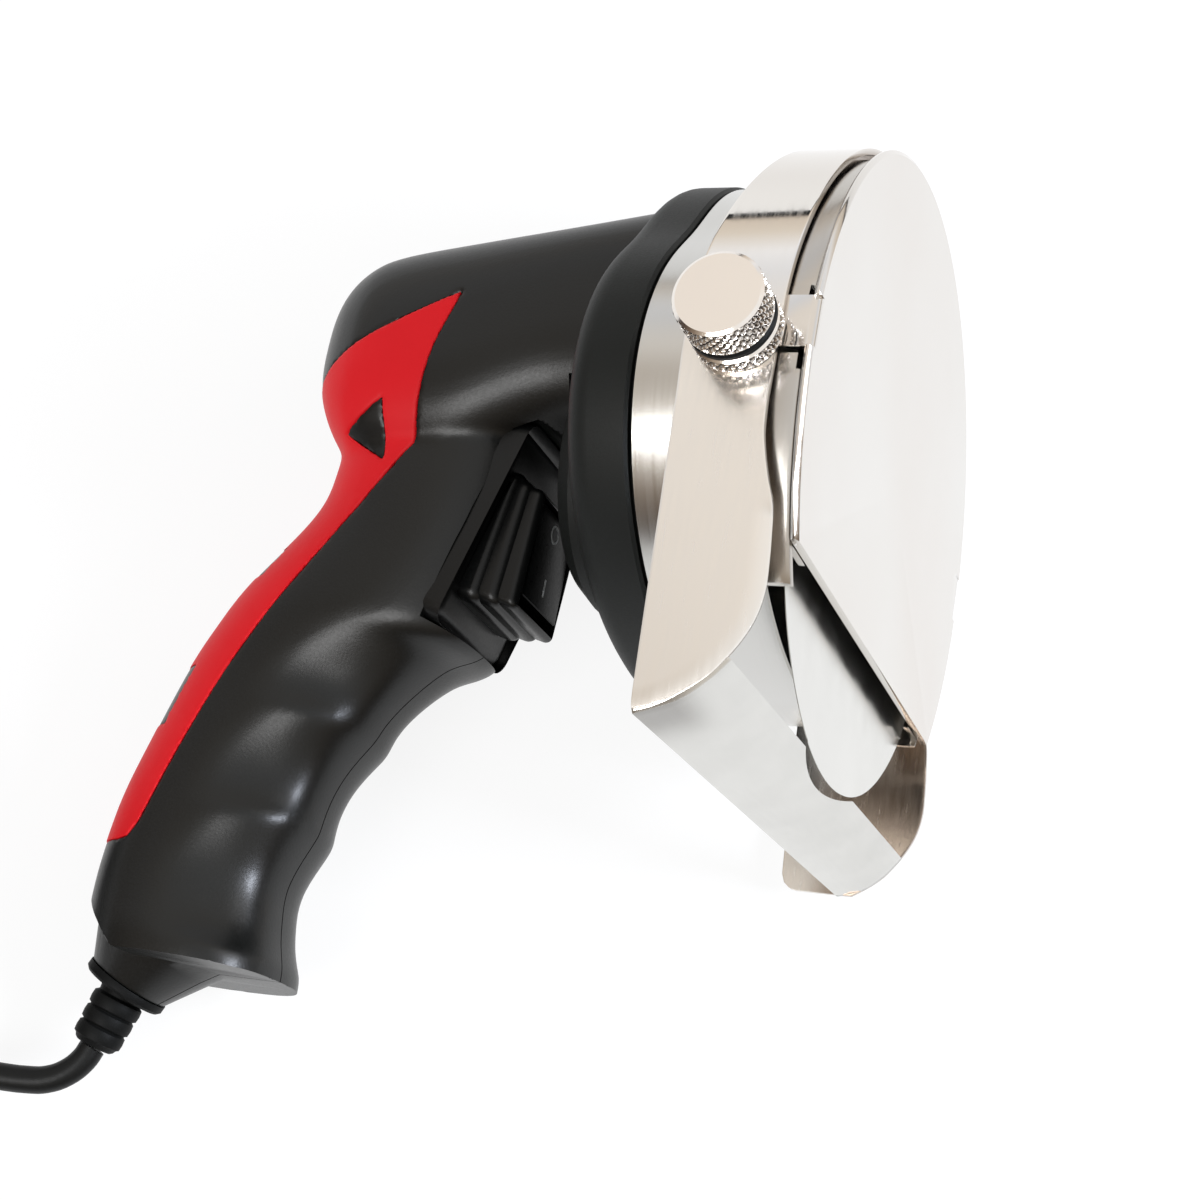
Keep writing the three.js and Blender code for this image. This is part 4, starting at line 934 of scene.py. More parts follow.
def inlay_cutter(name):
    """The inlay's area through the whole grip, without its windows."""
    area = across(name, inlay_outline(), INLAY_HALF)
    cut(area, across("triangle", TRIANGLE, INLAY_HALF + 4))
    for low, high in SPINE_WINDOWS:
        cut(area, across("spine_window", rectangle(*SPINE_REACH, low, high), SPINE_HALF))
    return area


def shrunk(skin, name, depth):
    """A copy of a skin that lies a depth inside it."""
    return modified(copied(skin, name), "DISPLACE", strength=-depth * MM, mid_level=0)


def open_housing(body):
    """Hollows the housing and cuts its openings for boss, shaft, switch and cord."""
    for hollow in housing_form("hollow", WALL, False):
        sliced(hollow, (0, 0, BASE_Z + WALL), -Z_AXIS)
        carve(body, hollow)
    carve(body, rod("boss_hole", BOSS_BACK_X - 1, COLLAR_FRONT_X, BOSS_R + FIT))
    carve(body, rod("shaft_hole", SHAFT_HOLE_BACK_X, COLLAR_FRONT_X, SHAFT_HOLE_R, 0, SHAFT_Z))
    carve(body, panel_prism("switch_hole", rectangle(*SWITCH_HOLE), SWITCH_HOLE_HALF))
    carve(body, lean_piece(rod("relief_seat", *RELIEF_SEAT), RELIEF_AT, RELIEF_LEAN))


def make_housing():
    """Barrel and grip as one form, cut open and split on the middle plane, with the inlay in its recess."""
    body = remeshed(joined(*housing_form("housing", 0, True)), FORM_VOXEL, 14)
    skin = copied(body, "inlay_blank")
    carve(body, carve(inlay_cutter("inlay_recess"), shrunk(skin, "inlay_core", RECESS_T)))
    remeshed(body, SHELL_VOXEL, 2)
    sliced(body, (0, 0, BASE_Z), -Z_AXIS)
    sliced(body, FOOT_HEEL, FOOT_TILT)
    carve(body, make_plinth(), "UNION")
    room = rectangle(FRAME_TOP - FIT, FRAME_LOW + FIT, 0, PANEL_REACH)
    carve(body, panel_prism("panel_room", room, FRAME_HALF + FIT))
    sliced(body, (COLLAR_BACK_X - FIT, 0, 0), X_AXIS)
    open_housing(body)
    left = copied(body, "housing_shell_left")
    body.name = "housing_shell_right"
    for half, side, node in ((body, -1, "housing_right"), (left, 1, "housing_left")):
        sliced(half, (0, side * SEAM / 2, 0), -side * Y_AXIS)
        shaded(half, 40)
        laid(half, "tool_body", "body", "black_plastic", node)
    make_inlay(skin)


def make_inlay(skin):
    """The inlay, cut out of the grip's own skin."""
    core = shrunk(skin, "inlay_core", INLAY_T)
    modified(skin, "DISPLACE", strength=INLAY_PROUD * MM, mid_level=0)
    carve(skin, inlay_cutter("inlay_area"), "INTERSECT")
    carve(skin, core)
    remeshed(skin, INLAY_VOXEL, 3)
    skin.name = "red_inlay"
    shaded(skin, 60)
    laid(skin, "tool_body", "inlay", "red_plastic", "grip_inlay")


# Switch: a stepped frame, the rocker and its two marks


def rounded_block(name, points, half, corner, edge):
    """A wedge on the switch panel with rounded upright edges and eased rims."""
    block = panel_prism(name, points, half)
    edit_all(block)
    bpy.ops.mesh.select_all(action="DESELECT")
    bpy.ops.object.mode_set(mode="OBJECT")
    for edge_line in block.data.edges:
        a, b = (block.data.vertices[i].co for i in edge_line.vertices)
        edge_line.select = abs((b - a).normalized().dot(PANEL_AWAY)) > 0.9
    bpy.ops.object.mode_set(mode="EDIT")
    bpy.ops.mesh.select_mode(type="EDGE")
    bpy.ops.mesh.bevel(offset=corner * MM, segments=6, affect="EDGES")
    bpy.ops.object.mode_set(mode="OBJECT")
    return eased(block, edge, 3, 50)


def make_switch():
    """The frame in steps, and the rocker in its room."""
    frames = []
    for top, low, top_out, low_out, half, corner in FRAME_STEPS:
        outline = [(top, FIT), (top, top_out), (low, low_out), (low, FIT)]
        frames.append(rounded_block("switch_frame", outline, half, corner, FRAME_EASE))
    bezel = frames[0]
    for step in frames[1:]:
        carve(bezel, step, "UNION")
    room = rectangle(ROCKER_TOP[0] - ROCKER_FIT, ROCKER_LOW[0] + ROCKER_SWING, *ROCKER_ROOM)
    carve(bezel, panel_prism("rocker_room", room, ROCKER_HALF + ROCKER_FIT))
    shaded(bezel, 30)
    laid(bezel, "tool_body", "switch", "black_plastic", "switch_bezel")
    outline = [ROCKER_TOP, ROCKER_MIDDLE, ROCKER_LOW, *ROCKER_UNDER]
    rocker = panel_prism("rocker_cap", outline, ROCKER_HALF)
    eased(rocker, 0.5, 3, 30)
    shaded(rocker, 30)
    laid(rocker, "rocker_set", "rocker", "black_plastic", "rocker")


def on_rocker(start, end, along, lift=0):
    """A point over one face of the rocker, with the face's slope."""
    slope = (end[1] - start[1]) / (end[0] - start[0])
    return (along, start[1] + slope * (along - start[0]) + lift)


def make_marks():
    """The strokes of on and off, printed on the two faces of the rocker."""
    corners = rectangle(*STROKE, 0, MARK_T)
    stroke = [on_rocker(ROCKER_MIDDLE, ROCKER_LOW, along, lift) for along, lift in corners]
    laid(panel_prism("mark_on", stroke, STROKE_HALF), "rocker_set", "mark", "black_plastic")
    profile = [(0, CIRCLE_INNER), (MARK_T, CIRCLE_INNER), (MARK_T, CIRCLE_OUTER), (0, CIRCLE_OUTER)]
    circle = ring("mark_off", profile, 48)
    slope = math.atan2(ROCKER_MIDDLE[1] - ROCKER_TOP[1], ROCKER_MIDDLE[0] - ROCKER_TOP[0])
    x, z = on_panel(*on_rocker(ROCKER_TOP, ROCKER_MIDDLE, CIRCLE_ALONG))
    place = Matrix.Translation(Vector((x, 0, z)) * MM)
    circle.data.transform(place @ Matrix.Rotation(PANEL_LEAN - slope, 4, "Y"))
    laid(circle, "rocker_set", "mark", "black_plastic")


# Head: collar and head ring

COLLAR_FLOOR = 3
BOSS_EASE = 3
BOSS_FLOOR = 4
RIM_EASE = 0.4
FRONT_EASE = 0.3
HUB_R = 16
SPINDLE_HOLE_R = 6.2
BEARING_DEEP = 5
ROUND_STEPS = 200


def case_reach(angle):
    """Reach of the gear case from the blade axis: a round part for the motor's shaft and a wide oval."""
    aside = math.cos(angle)
    up = math.sin(angle)
    around = CASE_LIFT * up + math.sqrt(CASE_R ** 2 - (CASE_LIFT * aside) ** 2)
    oval = 1 / math.hypot(aside / COLLAR_R, up / CASE_DEEP)
    return (around ** CASE_BLEND + oval ** CASE_BLEND) ** (1 / CASE_BLEND)


def case_body(name, rings):
    """A body with the outline of the gear case: places along X, each with how far it stays inside."""
    skin = []
    for x, inset in rings:
        points = []
        for k in range(CASE_POINTS):
            angle = 2 * math.pi * k / CASE_POINTS
            reach = case_reach(angle) - inset
            points.append(Vector((x, reach * math.cos(angle), reach * math.sin(angle))))
        skin.append(points)
    return lofted(name, skin)


def make_collar():
    """The collar in the case's outline, with the boss for the rear bearing."""
    r = COLLAR_ROUND
    rings = [(x, -inset) for x, inset in arc_points((COLLAR_BACK_X + r, -r), r, 180, 90, 8)]
    rings += [(COLLAR_FRONT_X - 0.5, 0), (COLLAR_FRONT_X, 0.5)]
    collar = case_body("head_collar", rings)
    hollow = [(COLLAR_BACK_X + COLLAR_FLOOR, CASE_WALL), (COLLAR_FRONT_X + 1, CASE_WALL)]
    cut(collar, case_body("collar_room", hollow))
    inside = COLLAR_BACK_X + 1
    profile = [(BOSS_BACK_X, 0), (BOSS_BACK_X, BOSS_R - BOSS_EASE), (BOSS_BACK_X + BOSS_EASE, BOSS_R)]
    profile += [(inside, BOSS_R), (inside, 0)]
    cut(collar, turned("bearing_boss", profile, 64), "UNION")
    cut(collar, rod("bearing_seat", BOSS_BACK_X + BOSS_FLOOR, COLLAR_FRONT_X, BEARING_R, 0, 0, 48))
    cut(collar, rod("shaft_hole", COLLAR_BACK_X - 1, COLLAR_FRONT_X, SHAFT_HOLE_R, 0, SHAFT_Z))
    shaded(collar, 30)
    laid(collar, "tool_body", "collar", "black_plastic", "collar")


def head_front():
    """The head's front, where the case's outline and the round rim cross."""
    eased_x = HEAD_FRONT_X - FRONT_EASE
    lip = COLLAR_LIP
    rings = [(HEAD_SHOULDER_X - 1, lip), (eased_x, lip), (HEAD_FRONT_X, lip + FRONT_EASE)]
    front = case_body("cup_front", rings)
    profile = [(HEAD_BACK_X, 0), (HEAD_BACK_X, HEAD_R), (eased_x, HEAD_R)]
    profile += [(HEAD_FRONT_X, HEAD_R - FRONT_EASE), (HEAD_FRONT_X, 0)]
    return cut(front, turned("round_front", profile, ROUND_STEPS), "INTERSECT")


def make_head():
    """The turned cup with its hub for the front bearing."""
    lip = COLLAR_LIP
    rings = [(HEAD_BACK_X, lip + RIM_EASE), (HEAD_BACK_X + RIM_EASE, lip)]
    rings += [(HEAD_SHOULDER_X - RIM_EASE, lip), (HEAD_SHOULDER_X, lip + RIM_EASE)]
    cup = cut(case_body("head_cup", rings), head_front(), "UNION")
    inset = lip + CASE_WALL
    room = case_body("cup_room", [(HEAD_BACK_X + CASE_WALL, inset), (HEAD_FRONT_X + 1, inset)])
    round_room = rod("room_round", HEAD_BACK_X, BEFORE_X, HEAD_R - CASE_WALL, 0, 0, ROUND_STEPS)
    cut(cup, cut(room, round_room, "INTERSECT"))
    seat_x = HUB_X - BEARING_DEEP
    profile = [(HEAD_BACK_X + 1, SPINDLE_HOLE_R), (HEAD_BACK_X + 1, HUB_R), (HUB_X, HUB_R)]
    profile += [(HUB_X, BEARING_R), (seat_x, BEARING_R), (seat_x, SPINDLE_HOLE_R)]
    hub = ring("cup_hub", profile, 96)
    cut(cup, rod("spindle_hole", HEAD_BACK_X - 1, BEFORE_X, SPINDLE_HOLE_R, 0, 0, 96))
    cut(cup, hub, "UNION")
    shaded(cup, 30)
    laid(cup, "tool_body", "aluminium", "turned_aluminium", "head_ring")


# Cover: the plate with its straight cut, the angle ring behind it, and the blade

TAB_LOW_Z = -1.6
TAB_TOP_Z = 6.6
TAB_BACK_X = -8.6
TAB_OUT = 54.25
TAB_BEND = 1.5
TAB_T = 0.55
TAB_ROOT = 6
# Slots of the bayonet beside the tab: places along X, then bottom and top
TAB_SLOTS = ((BEHIND_X, 0, -2.3, 6.8), (-2.4, 0, -4.7, -2.2), (-2.4, 0, 6.6, 9))
SLOT_INNER = 45
SLOT_DEEP = 20
SHEET_EASE = 0.12
BLADE_BORE = 5.3
BLADE_EDGE = 0.15


def through(name, outline):
    """An outline in Y and Z pushed through the whole cover."""
    return lengthwise(name, outline, BEHIND_X, BEFORE_X)


def below(name, z):
    """All of the cover below a height."""
    return through(name, rectangle(-CUT_REACH, CUT_REACH, -CUT_REACH, z))


def make_tab(side):
    """Tongue of the plate, bent back over the skirt."""
    bend_at = (-TAB_BEND, TAB_OUT - TAB_BEND)
    root = TAB_OUT - TAB_ROOT
    outer = [(0, root), *arc_points(bend_at, TAB_BEND, 0, 90, 10), (TAB_BACK_X, TAB_OUT)]
    inner = [(TAB_BACK_X, TAB_OUT - TAB_T), *arc_points(bend_at, TAB_BEND - TAB_T, 90, 0, 10), (-TAB_T, root)]
    outline = [(x, side * y, TAB_LOW_Z) for x, y in outer + inner]
    return pushed("cover_tongue", outline, (0, 0, TAB_TOP_Z - TAB_LOW_Z))


def make_plate():
    """The polished plate with its cut and its two tongues."""
    profile = [(-COVER_T, 0), (-COVER_T, COVER_R - 0.35), (-COVER_T + 0.4, COVER_R)]
    profile += [(-0.45, COVER_R), (0, COVER_R - 0.7), (0, 0)]
    plate = turned("cover_disc", profile, 192)
    cut(plate, below("cut_off", COVER_CUT_Z))
    bend_y = TAB_OUT - TAB_BEND
    for side in (-1, 1):
        edge = [(side * y, z) for y, z in rectangle(bend_y, bend_y + SLOT_DEEP, TAB_LOW_Z, TAB_TOP_Z)]
        cut(plate, through("tab_room", edge))
        cut(plate, make_tab(side), "UNION")
    eased(plate, SHEET_EASE, 2, 50)
    shaded(plate, 25)
    laid(plate, "cover_set", "cover", "polished_steel", "cover_plate")


def make_skirt():
    """The angle ring behind the plate, open below and slotted for the tongues."""
    front = -COVER_T - FIT
    inner = SKIRT_R - SHEET
    flange = SKIRT_R - SKIRT_FLANGE
    profile = [(SKIRT_BACK_X, inner), (SKIRT_BACK_X, SKIRT_R), (front - 0.8, SKIRT_R)]
    profile += [(front - 0.24, SKIRT_R - 0.24), (front, SKIRT_R - 0.8), (front, flange)]
    profile += [(front - SHEET, flange), (front - SHEET, inner)]
    skirt = ring("cover_angle_ring", profile, 160)
    ends = [(-CUT_REACH, -CUT_REACH), (CUT_REACH, -CUT_REACH), (CUT_REACH, SKIRT_FAR_Z), (0, SKIRT_FAR_Z)]
    ends += [(0, SKIRT_END_Z), (-CUT_REACH, SKIRT_END_Z)]
    cut(skirt, through("skirt_end", ends))
    flange_end = rod("flange_end", BEHIND_X, BEFORE_X, inner, 0, 0, 160)
    cut(skirt, cut(flange_end, below("low_side", COVER_CUT_Z), "INTERSECT"))
    for side in (-1, 1):
        for slot in TAB_SLOTS:
            outline = [(x, side * SLOT_INNER, z) for x, z in rectangle(*slot)]
            cut(skirt, pushed("tab_slot", outline, (0, side * SLOT_DEEP, 0)))
    eased(skirt, SHEET_EASE, 2, 50)
    shaded(skirt, 30)
    laid(skirt, "cover_set", "skirt", "polished_steel", "cover_skirt")


def make_blade(radius):
    """The round knife, ground from behind."""
    back = BLADE_X - BLADE_T
    profile = [(back, BLADE_BORE), (back, radius - BLADE_BEVEL), (BLADE_X - BLADE_EDGE, radius)]
    profile += [(BLADE_X, radius), (BLADE_X, BLADE_BORE)]
    blade = ring("round_knife", profile, 192)
    shaded(blade, 8)
    laid(blade, "blade_set", "blade", "polished_steel", "blade")


# Guide: the hood band with its arms, and the scoop between them

FAR_LOW_Z = -55.3
ARM_FRONT = [
    (-5.2, -10), (-4.9, -15), (-4.1, -19), (-3.1, -22.6), (-2, -26), (-1.5, -30), (-1.1, -35), (-1, -39),
    (-1.6, -42.6), (-2.9, -45.8), (-4.9, -49), (-7.2, -51.8), (-10.9, -54.6), (-13.8, -56.2), (-16.6, -57.1),
]
ARM_REAR = [(GUIDE_BACK_X, 0), (-17, -57.1)]
FAR_REAR = [
    (GUIDE_BACK_X, -17), (-20.6, -19.4), (-25.4, -21), (-26.8, -22.4), (-26.2, -36), (-25.4, -49),
    (-25.2, -52.4), (-24.6, -54), (-23.4, -55), (-22, -55.3),
]
BAND_COLUMNS = 44
HOOD_REAR_LEAN = 4.5
HOOD_FRONT_LEAN = 1.1
EDGE_ROLL = 3
EDGE_DROP = 0.36
# Share of painted reflection, a darker warm grey, on the hood's top
HOOD_PAINTED_REFLECTION = 0.22
ARM_STEPS = 168
HOOD_STEPS = 120
HOOD_OVERLAP = 4
GROUND_BELOW_Z = -28
# Heights between which the hood's painted reflection, a darker warm grey, grows on its top, and between which
# the wear of the arms ends
PAINTED_REFLECTION_Z = (22, 34)
WORN_Z = (6, 16)
# Places along X between which the painted reflection on the inner side grows
INNER_X = (-22, -15)


def level_x(line, z):
    """X of a line of points at a height, held at its ends."""
    for (x0, z0), (x1, z1) in zip(line, line[1:]):
        if z1 <= z <= z0:
            return x0 + (x1 - x0) * (z0 - z) / (z0 - z1)
    return line[0][0] if z > line[0][1] else line[-1][0]


def sheet_grid(name, rows):
    """A sheet through rows with equally many points, meshed directly to keep its faces even."""
    count = len(rows[0])
    faces = []
    for j in range(len(rows) - 1):
        for i in range(count - 1):
            a = j * count + i
            faces.append((a, a + 1, a + 1 + count, a + count))
    mesh = bpy.data.meshes.new(name)
    mesh.from_pydata([Vector(point) * MM for row in rows for point in row], [], faces)
    piece = bpy.data.objects.new(name, mesh)
    bpy.context.collection.objects.link(piece)
    return piece


def band_row(y, z, rear, front):
    """One row of the guide's band, from its rear edge to its front edge."""
    return [(rear + (front - rear) * i / BAND_COLUMNS, y, z) for i in range(BAND_COLUMNS + 1)]


def rolled(row, edge, side):
    """A row of an arm with the sheet ground round towards the arm's free edge."""
    result = []
    for x, y, z in row:
        away = min(math.hypot(x - p.x, z - p.y) for p in edge)
        drop = EDGE_DROP * max(0, 1 - away / EDGE_ROLL) ** 2
        result.append((x, y - side * drop, z))
    return result


def note(piece, name, values):
    """Keeps a value for each point of a piece, which its material reads."""
    layer = piece.data.attributes.new(name, "FLOAT", "POINT")
    layer.data.foreach_set("value", values)


def band_rows(middle_r):
    """Rows of the band: up the near arm, over the hood and down the far arm."""
    arm = curve_points(ARM_FRONT, ARM_STEPS)
    ground = [p for p in arm if p.y < GROUND_BELOW_Z]
    rows = []
    for p in reversed(arm):
        row = band_row(-middle_r, p.y, level_x(ARM_REAR, p.y), p.x)
        rows.append(rolled(row, ground, -1))
    for y, z in arc_points((0, 0), middle_r, 180 + HOOD_OVERLAP, -HOOD_OVERLAP, HOOD_STEPS):
        lean = smooth_step(z / middle_r, 0.12, 0.95)
        rear = GUIDE_BACK_X + HOOD_REAR_LEAN * lean
        rows.append(band_row(y, z, rear, HOOD_FRONT_X + HOOD_FRONT_LEAN * lean))
    for p in arm:
        if p.y > FAR_LOW_Z:
            rows.append(band_row(middle_r, p.y, level_x(FAR_REAR, p.y), p.x))
    return rows


def note_band(band, middle_r):
    """Notes where the band takes a painted reflection, a darker warm grey on its inner side and on top of the
    hood, and where its arms are worn.
    """
    inner = []
    worn = []
    for vertex in band.data.vertices:
        x, y, z = vertex.co / MM
        reach = math.hypot(y, z) if z > 0 else abs(y)
        # Painted reflection: darker towards the hood's top, and on the inner side towards the front
        hood_painted_reflection = HOOD_PAINTED_REFLECTION * smooth_step(z, *PAINTED_REFLECTION_Z)
        inside = 1 - smooth_step(reach, middle_r - 0.45, middle_r - 0.2)
        inner.append(max(hood_painted_reflection, inside * smooth_step(x, *INNER_X)))
        worn.append(1 - smooth_step(z, *WORN_Z))
    note(band, "painted_reflection", inner)
    note(band, "worn", worn)


def make_guide():
    """The bent band with its slot for the stud."""
    middle_r = HOOD_R - SHEET / 2
    band = sheet_grid("guide_band", band_rows(middle_r))
    modified(band, "SOLIDIFY", thickness=SHEET * MM, offset=0)
    face_outward(band)
    slot_r = STUD_R + FIT
    slot = arc_points((KNOB_X + GUIDE_TRAVEL, 0), slot_r, -90, 90, 12)
    slot += arc_points((KNOB_X - GUIDE_TRAVEL, 0), slot_r, 90, 270, 12)
    cut(band, across("stud_slot", slot, CUT_REACH))
    eased(band, 0.4, 3, 50)
    note_band(band, middle_r)
    shaded(band, 30)
    laid(band, "guide_set", "guide", "polished_steel", "guide_hood")


SCOOP_NEAR = [(-4.8, -48.6), (-7.4, -51.6), (-11.2, -54.6), (-17, -56.9)]
SCOOP_FAR = [(-4.5, -46.8), (-7.2, -50.4), (-10.6, -53.2), (-14.8, -54.6)]
SCOOP_ROWS = 60
SCOOP_COLUMNS = 18
NOTCH_R = 50.7
# Share of the darker patch on the scoop by the near arm
NEAR_ARM_DARKENING_SHARE = 0.6
# Distances from the near arm between which the darker patch fades
DARKENING_Y = (4, 17)
# Distances behind the cover's face between which it grows
DARKENING_X = (7, 12)


def make_scoop():
    """The plate between the arms, which rises towards the far one, with a round notch for the blade."""
    half = HOOD_R - SHEET / 2
    near = curve_points(SCOOP_NEAR, SCOOP_COLUMNS)
    far = curve_points(SCOOP_FAR, SCOOP_COLUMNS)
    rows = []
    for j in range(SCOOP_ROWS + 1):
        share = j / SCOOP_ROWS
        y = half * (2 * share - 1)
        rows.append([(p.x, y, p.y) for p in (a.lerp(b, share) for a, b in zip(near, far))])
    scoop = sheet_grid("guide_lip", rows)
    modified(scoop, "SOLIDIFY", thickness=SHEET * MM, offset=1)
    face_outward(scoop)
    cut(scoop, rod("blade_notch", BEHIND_X, BEFORE_X, NOTCH_R, 0, 0, 192))
    eased(scoop, 0.2, 2, 50)
    # A darker patch by the near arm, which grows behind the cover's face
    patch = []
    for vertex in scoop.data.vertices:
        x, y, z = vertex.co / MM
        patch.append(NEAR_ARM_DARKENING_SHARE * (1 - smooth_step(y + half, *DARKENING_Y)) * smooth_step(-x, *DARKENING_X))
    note(scoop, "near_arm_darkening", patch)
    shaded(scoop, 30)
    laid(scoop, "guide_set", "scoop", "polished_steel", "guide_scoop")


# Knob: knurled head, rubber ring and knurled foot

KNOB_FOOT_R = 6.9
KNOB_H = 6
KNOB_BORE = 2.3
WASHER_H = 1.6
WASHER_R = 6.75
WASHER_EASE = 0.3
FOOT_H = 3.4
KNURLS = 28
KNURL_DEPTH = 0.55
KNURL_LAND = 0.72
KNURL_ROW = 0.16
KNURL_STEPS = 6


def knurl_profile(start, end, radius, bore):
    """Half section of a wheel, with rows of points on its rim for the knurls."""
    rim = radius - 0.6
    rows = max(6, round((end - start - 1) / KNURL_ROW))
    profile = [(start, bore), (start, rim), (start + 0.3, radius - 0.1)]
    profile += [(start + 0.5 + (end - start - 1) * i / rows, radius) for i in range(rows + 1)]
    return profile + [(end - 0.3, radius - 0.1), (end, rim), (end, bore)]


def knurled(name, start, end, radius, bore):
    """A knurled wheel on the X axis: a turned body with diamonds pressed into its rim."""
    shape = ring if bore else turned
    wheel = shape(name, knurl_profile(start, end, radius, bore), KNURLS * KNURL_STEPS)
    lead = 2 * math.pi * radius / KNURLS
    grooves = []
    for vertex in wheel.data.vertices:
        x, y, z = vertex.co / MM
        if math.hypot(y, z) < radius - 0.05:
            grooves.append(0)
            continue
        angle = math.atan2(z, y) * KNURLS
        twist = 2 * math.pi * (x - start) / lead
        ridge = max(abs(math.cos((angle + twist) / 2)), abs(math.cos((angle - twist) / 2)))
        share = max(0, ridge - KNURL_LAND) / (1 - KNURL_LAND)
        grooves.append(share)
        scale = 1 - KNURL_DEPTH * share / radius
        vertex.co.y *= scale
        vertex.co.z *= scale
    # How deep each point lies in a knurl's groove, where the nickel finish paints shade
    note(wheel, "groove", grooves)
    return shaded(wheel, 30)


def make_knob(radius):
    """The clamp knob on the near arm."""
    stand = Matrix.Translation(Vector((KNOB_X, 0, 0)) * MM) @ Matrix.Rotation(-math.pi / 2, 4, "Z")
    face = HOOD_R + FIT
    foot = knurled("knob_foot", face, face + FOOT_H - FIT, KNOB_FOOT_R, KNOB_BORE)
    start = face + FOOT_H
    end = start + WASHER_H - FIT
    rim = WASHER_R - WASHER_EASE
    profile = [(start, KNOB_BORE), (start, rim), (start + WASHER_EASE, WASHER_R), (start + 1, WASHER_R)]
    profile += [(end, rim), (end, KNOB_BORE)]
    washer = ring("knob_ring", profile, 64)
    head_start = start + WASHER_H
    head = knurled("knob_grip", head_start, head_start + KNOB_H, radius, 0)
    for piece, node, finish, slot in (
        (foot, "knob_nut", "nickel", "polished_steel"),
        (washer, "knob_washer", "rubber", "black_rubber"),
        (head, "knob_head", "nickel", "polished_steel"),
    ):
        piece.data.transform(stand)
        shaded(piece, 30)
        laid(piece, "knob_set", finish, slot, node)


# Solids of the frame that stay as they are

HOUSING_SCREWS = 5
COLLAR_SCREWS = 3
KEPT_SOLIDS = {
    "iron": (
        "spindle", "drive_gear", "motor_can",
        *(f"housing_screw_{i + 1}" for i in range(HOUSING_SCREWS)),
        *(f"collar_screw_{i + 1}" for i in range(COLLAR_SCREWS)),
    ),
    "nickel": ("blade_screw", "bearing_front", "bearing_rear", "rotor_shaft", "knob_stud", "guide_pin"),
    "brass": ("bush_front", "bush_rear", "pinion", "terminal_upper", "terminal_lower"),
    "copper": ("rotor_core", "commutator"),
    "magnet": ("magnet_upper", "magnet_lower", "brush_right", "brush_left"),
    "rubber": ("motor_end_cap", "switch_body"),
    "board": ("rectifier_board",),
}


def dress_solids():
    """Gives each kept solid its finish."""
    for finish, names in KEPT_SOLIDS.items():
        for name in names:
            solid = frame["nodes"][name]
            solid.data.materials.clear()
            solid.data.materials.append(FINISHES[finish])


# Stage: camera, floor, lamps and the pale surround

WHITE = (1, 1, 1, 1)
FLOOR_SIZE = 6
FLOOR_GREY = (0.9, 0.9, 0.9, 1)
FLOOR_GLOW = 0.88
LAMP_AIM = Vector((-0.02, 0, 0.05))
# Lamps: name, place and size in metres, power and colour
LAMPS = (
    ("key_lamp", (-0.5, -0.5, 0.9), 0.5, 6, (1, 1, 1)),
    ("fill_lamp", (0.7, 0.4, 0.8), 0.6, 3, (1, 1, 1)),
    ("grip_lamp", (0.4, 0, 0.43), 0.16, 3.6, (0.82, 0.88, 1)),
)
SOFT_LIGHT = 0.55
# What bright metal sees of the room, from the floor's edge to the ceiling: height of the direction, colour
FAR_WALL = (
    (0, "#2a2c2e"),
    (0.053, "#2a2c2e"),
    (0.068, "#dccfc1"),
    (0.16, "#e6dccf"),
    (0.28, "#fbfbfd"),
    (0.42, "#e9ebf0"),
    (0.56, "#f7f0e8"),
    (0.72, "#fbf4ec"),
    (1, "#ffffff"),
)
NEAR_WALL = (
    (0, "#3a2f28"),
    (0.12, "#4c4038"),
    (0.3, "#7d6c5d"),
    (0.5, "#b6a796"),
    (0.74, "#dcd3c8"),
    (1, "#ffffff"),
)
WALL_LOW = -0.05
# Where the near wall passes into the far one, by the direction's Y
WALL_TURN = (0.1, 0.46)


def make_camera():
    """The camera of the photograph."""
    data = bpy.data.cameras.new("camera")
    data.lens = CAMERA_LENS
    data.sensor_width = CAMERA_SENSOR
    data.clip_start = 0.01
    camera = bpy.data.objects.new("camera", data)
    bpy.context.collection.objects.link(camera)
    right = CAMERA_AWAY.cross(CAMERA_UP).normalized()
    up = right.cross(CAMERA_AWAY).normalized()
    turn = Matrix((right, up, -CAMERA_AWAY.normalized())).transposed()
    camera.matrix_world = Matrix.Translation(ORIGIN + CAMERA_FROM_ORIGIN) @ turn.to_4x4()
    bpy.context.scene.camera = camera


def seen_directly(tree):
    """1 for rays of the camera, of a mirror or through glass, and 0 for the light on matt faces."""
    path = add_node(tree, "ShaderNodeLightPath", {})
    share = path.outputs["Is Camera Ray"]
    for kind in ("Is Glossy Ray", "Is Transmission Ray"):
        larger = add_node(tree, "ShaderNodeMath", {0: share, 1: path.outputs[kind]}, operation="MAXIMUM")
        share = larger.outputs["Value"]
    return share


def mix_shaders(tree, share, first, second, output):
    """Sends a mix of two shaders to the output."""
    mix = add_node(tree, "ShaderNodeMixShader", {0: share, 1: first, 2: second})
    tree.links.new(mix.outputs["Shader"], tree.nodes[output].inputs["Surface"])


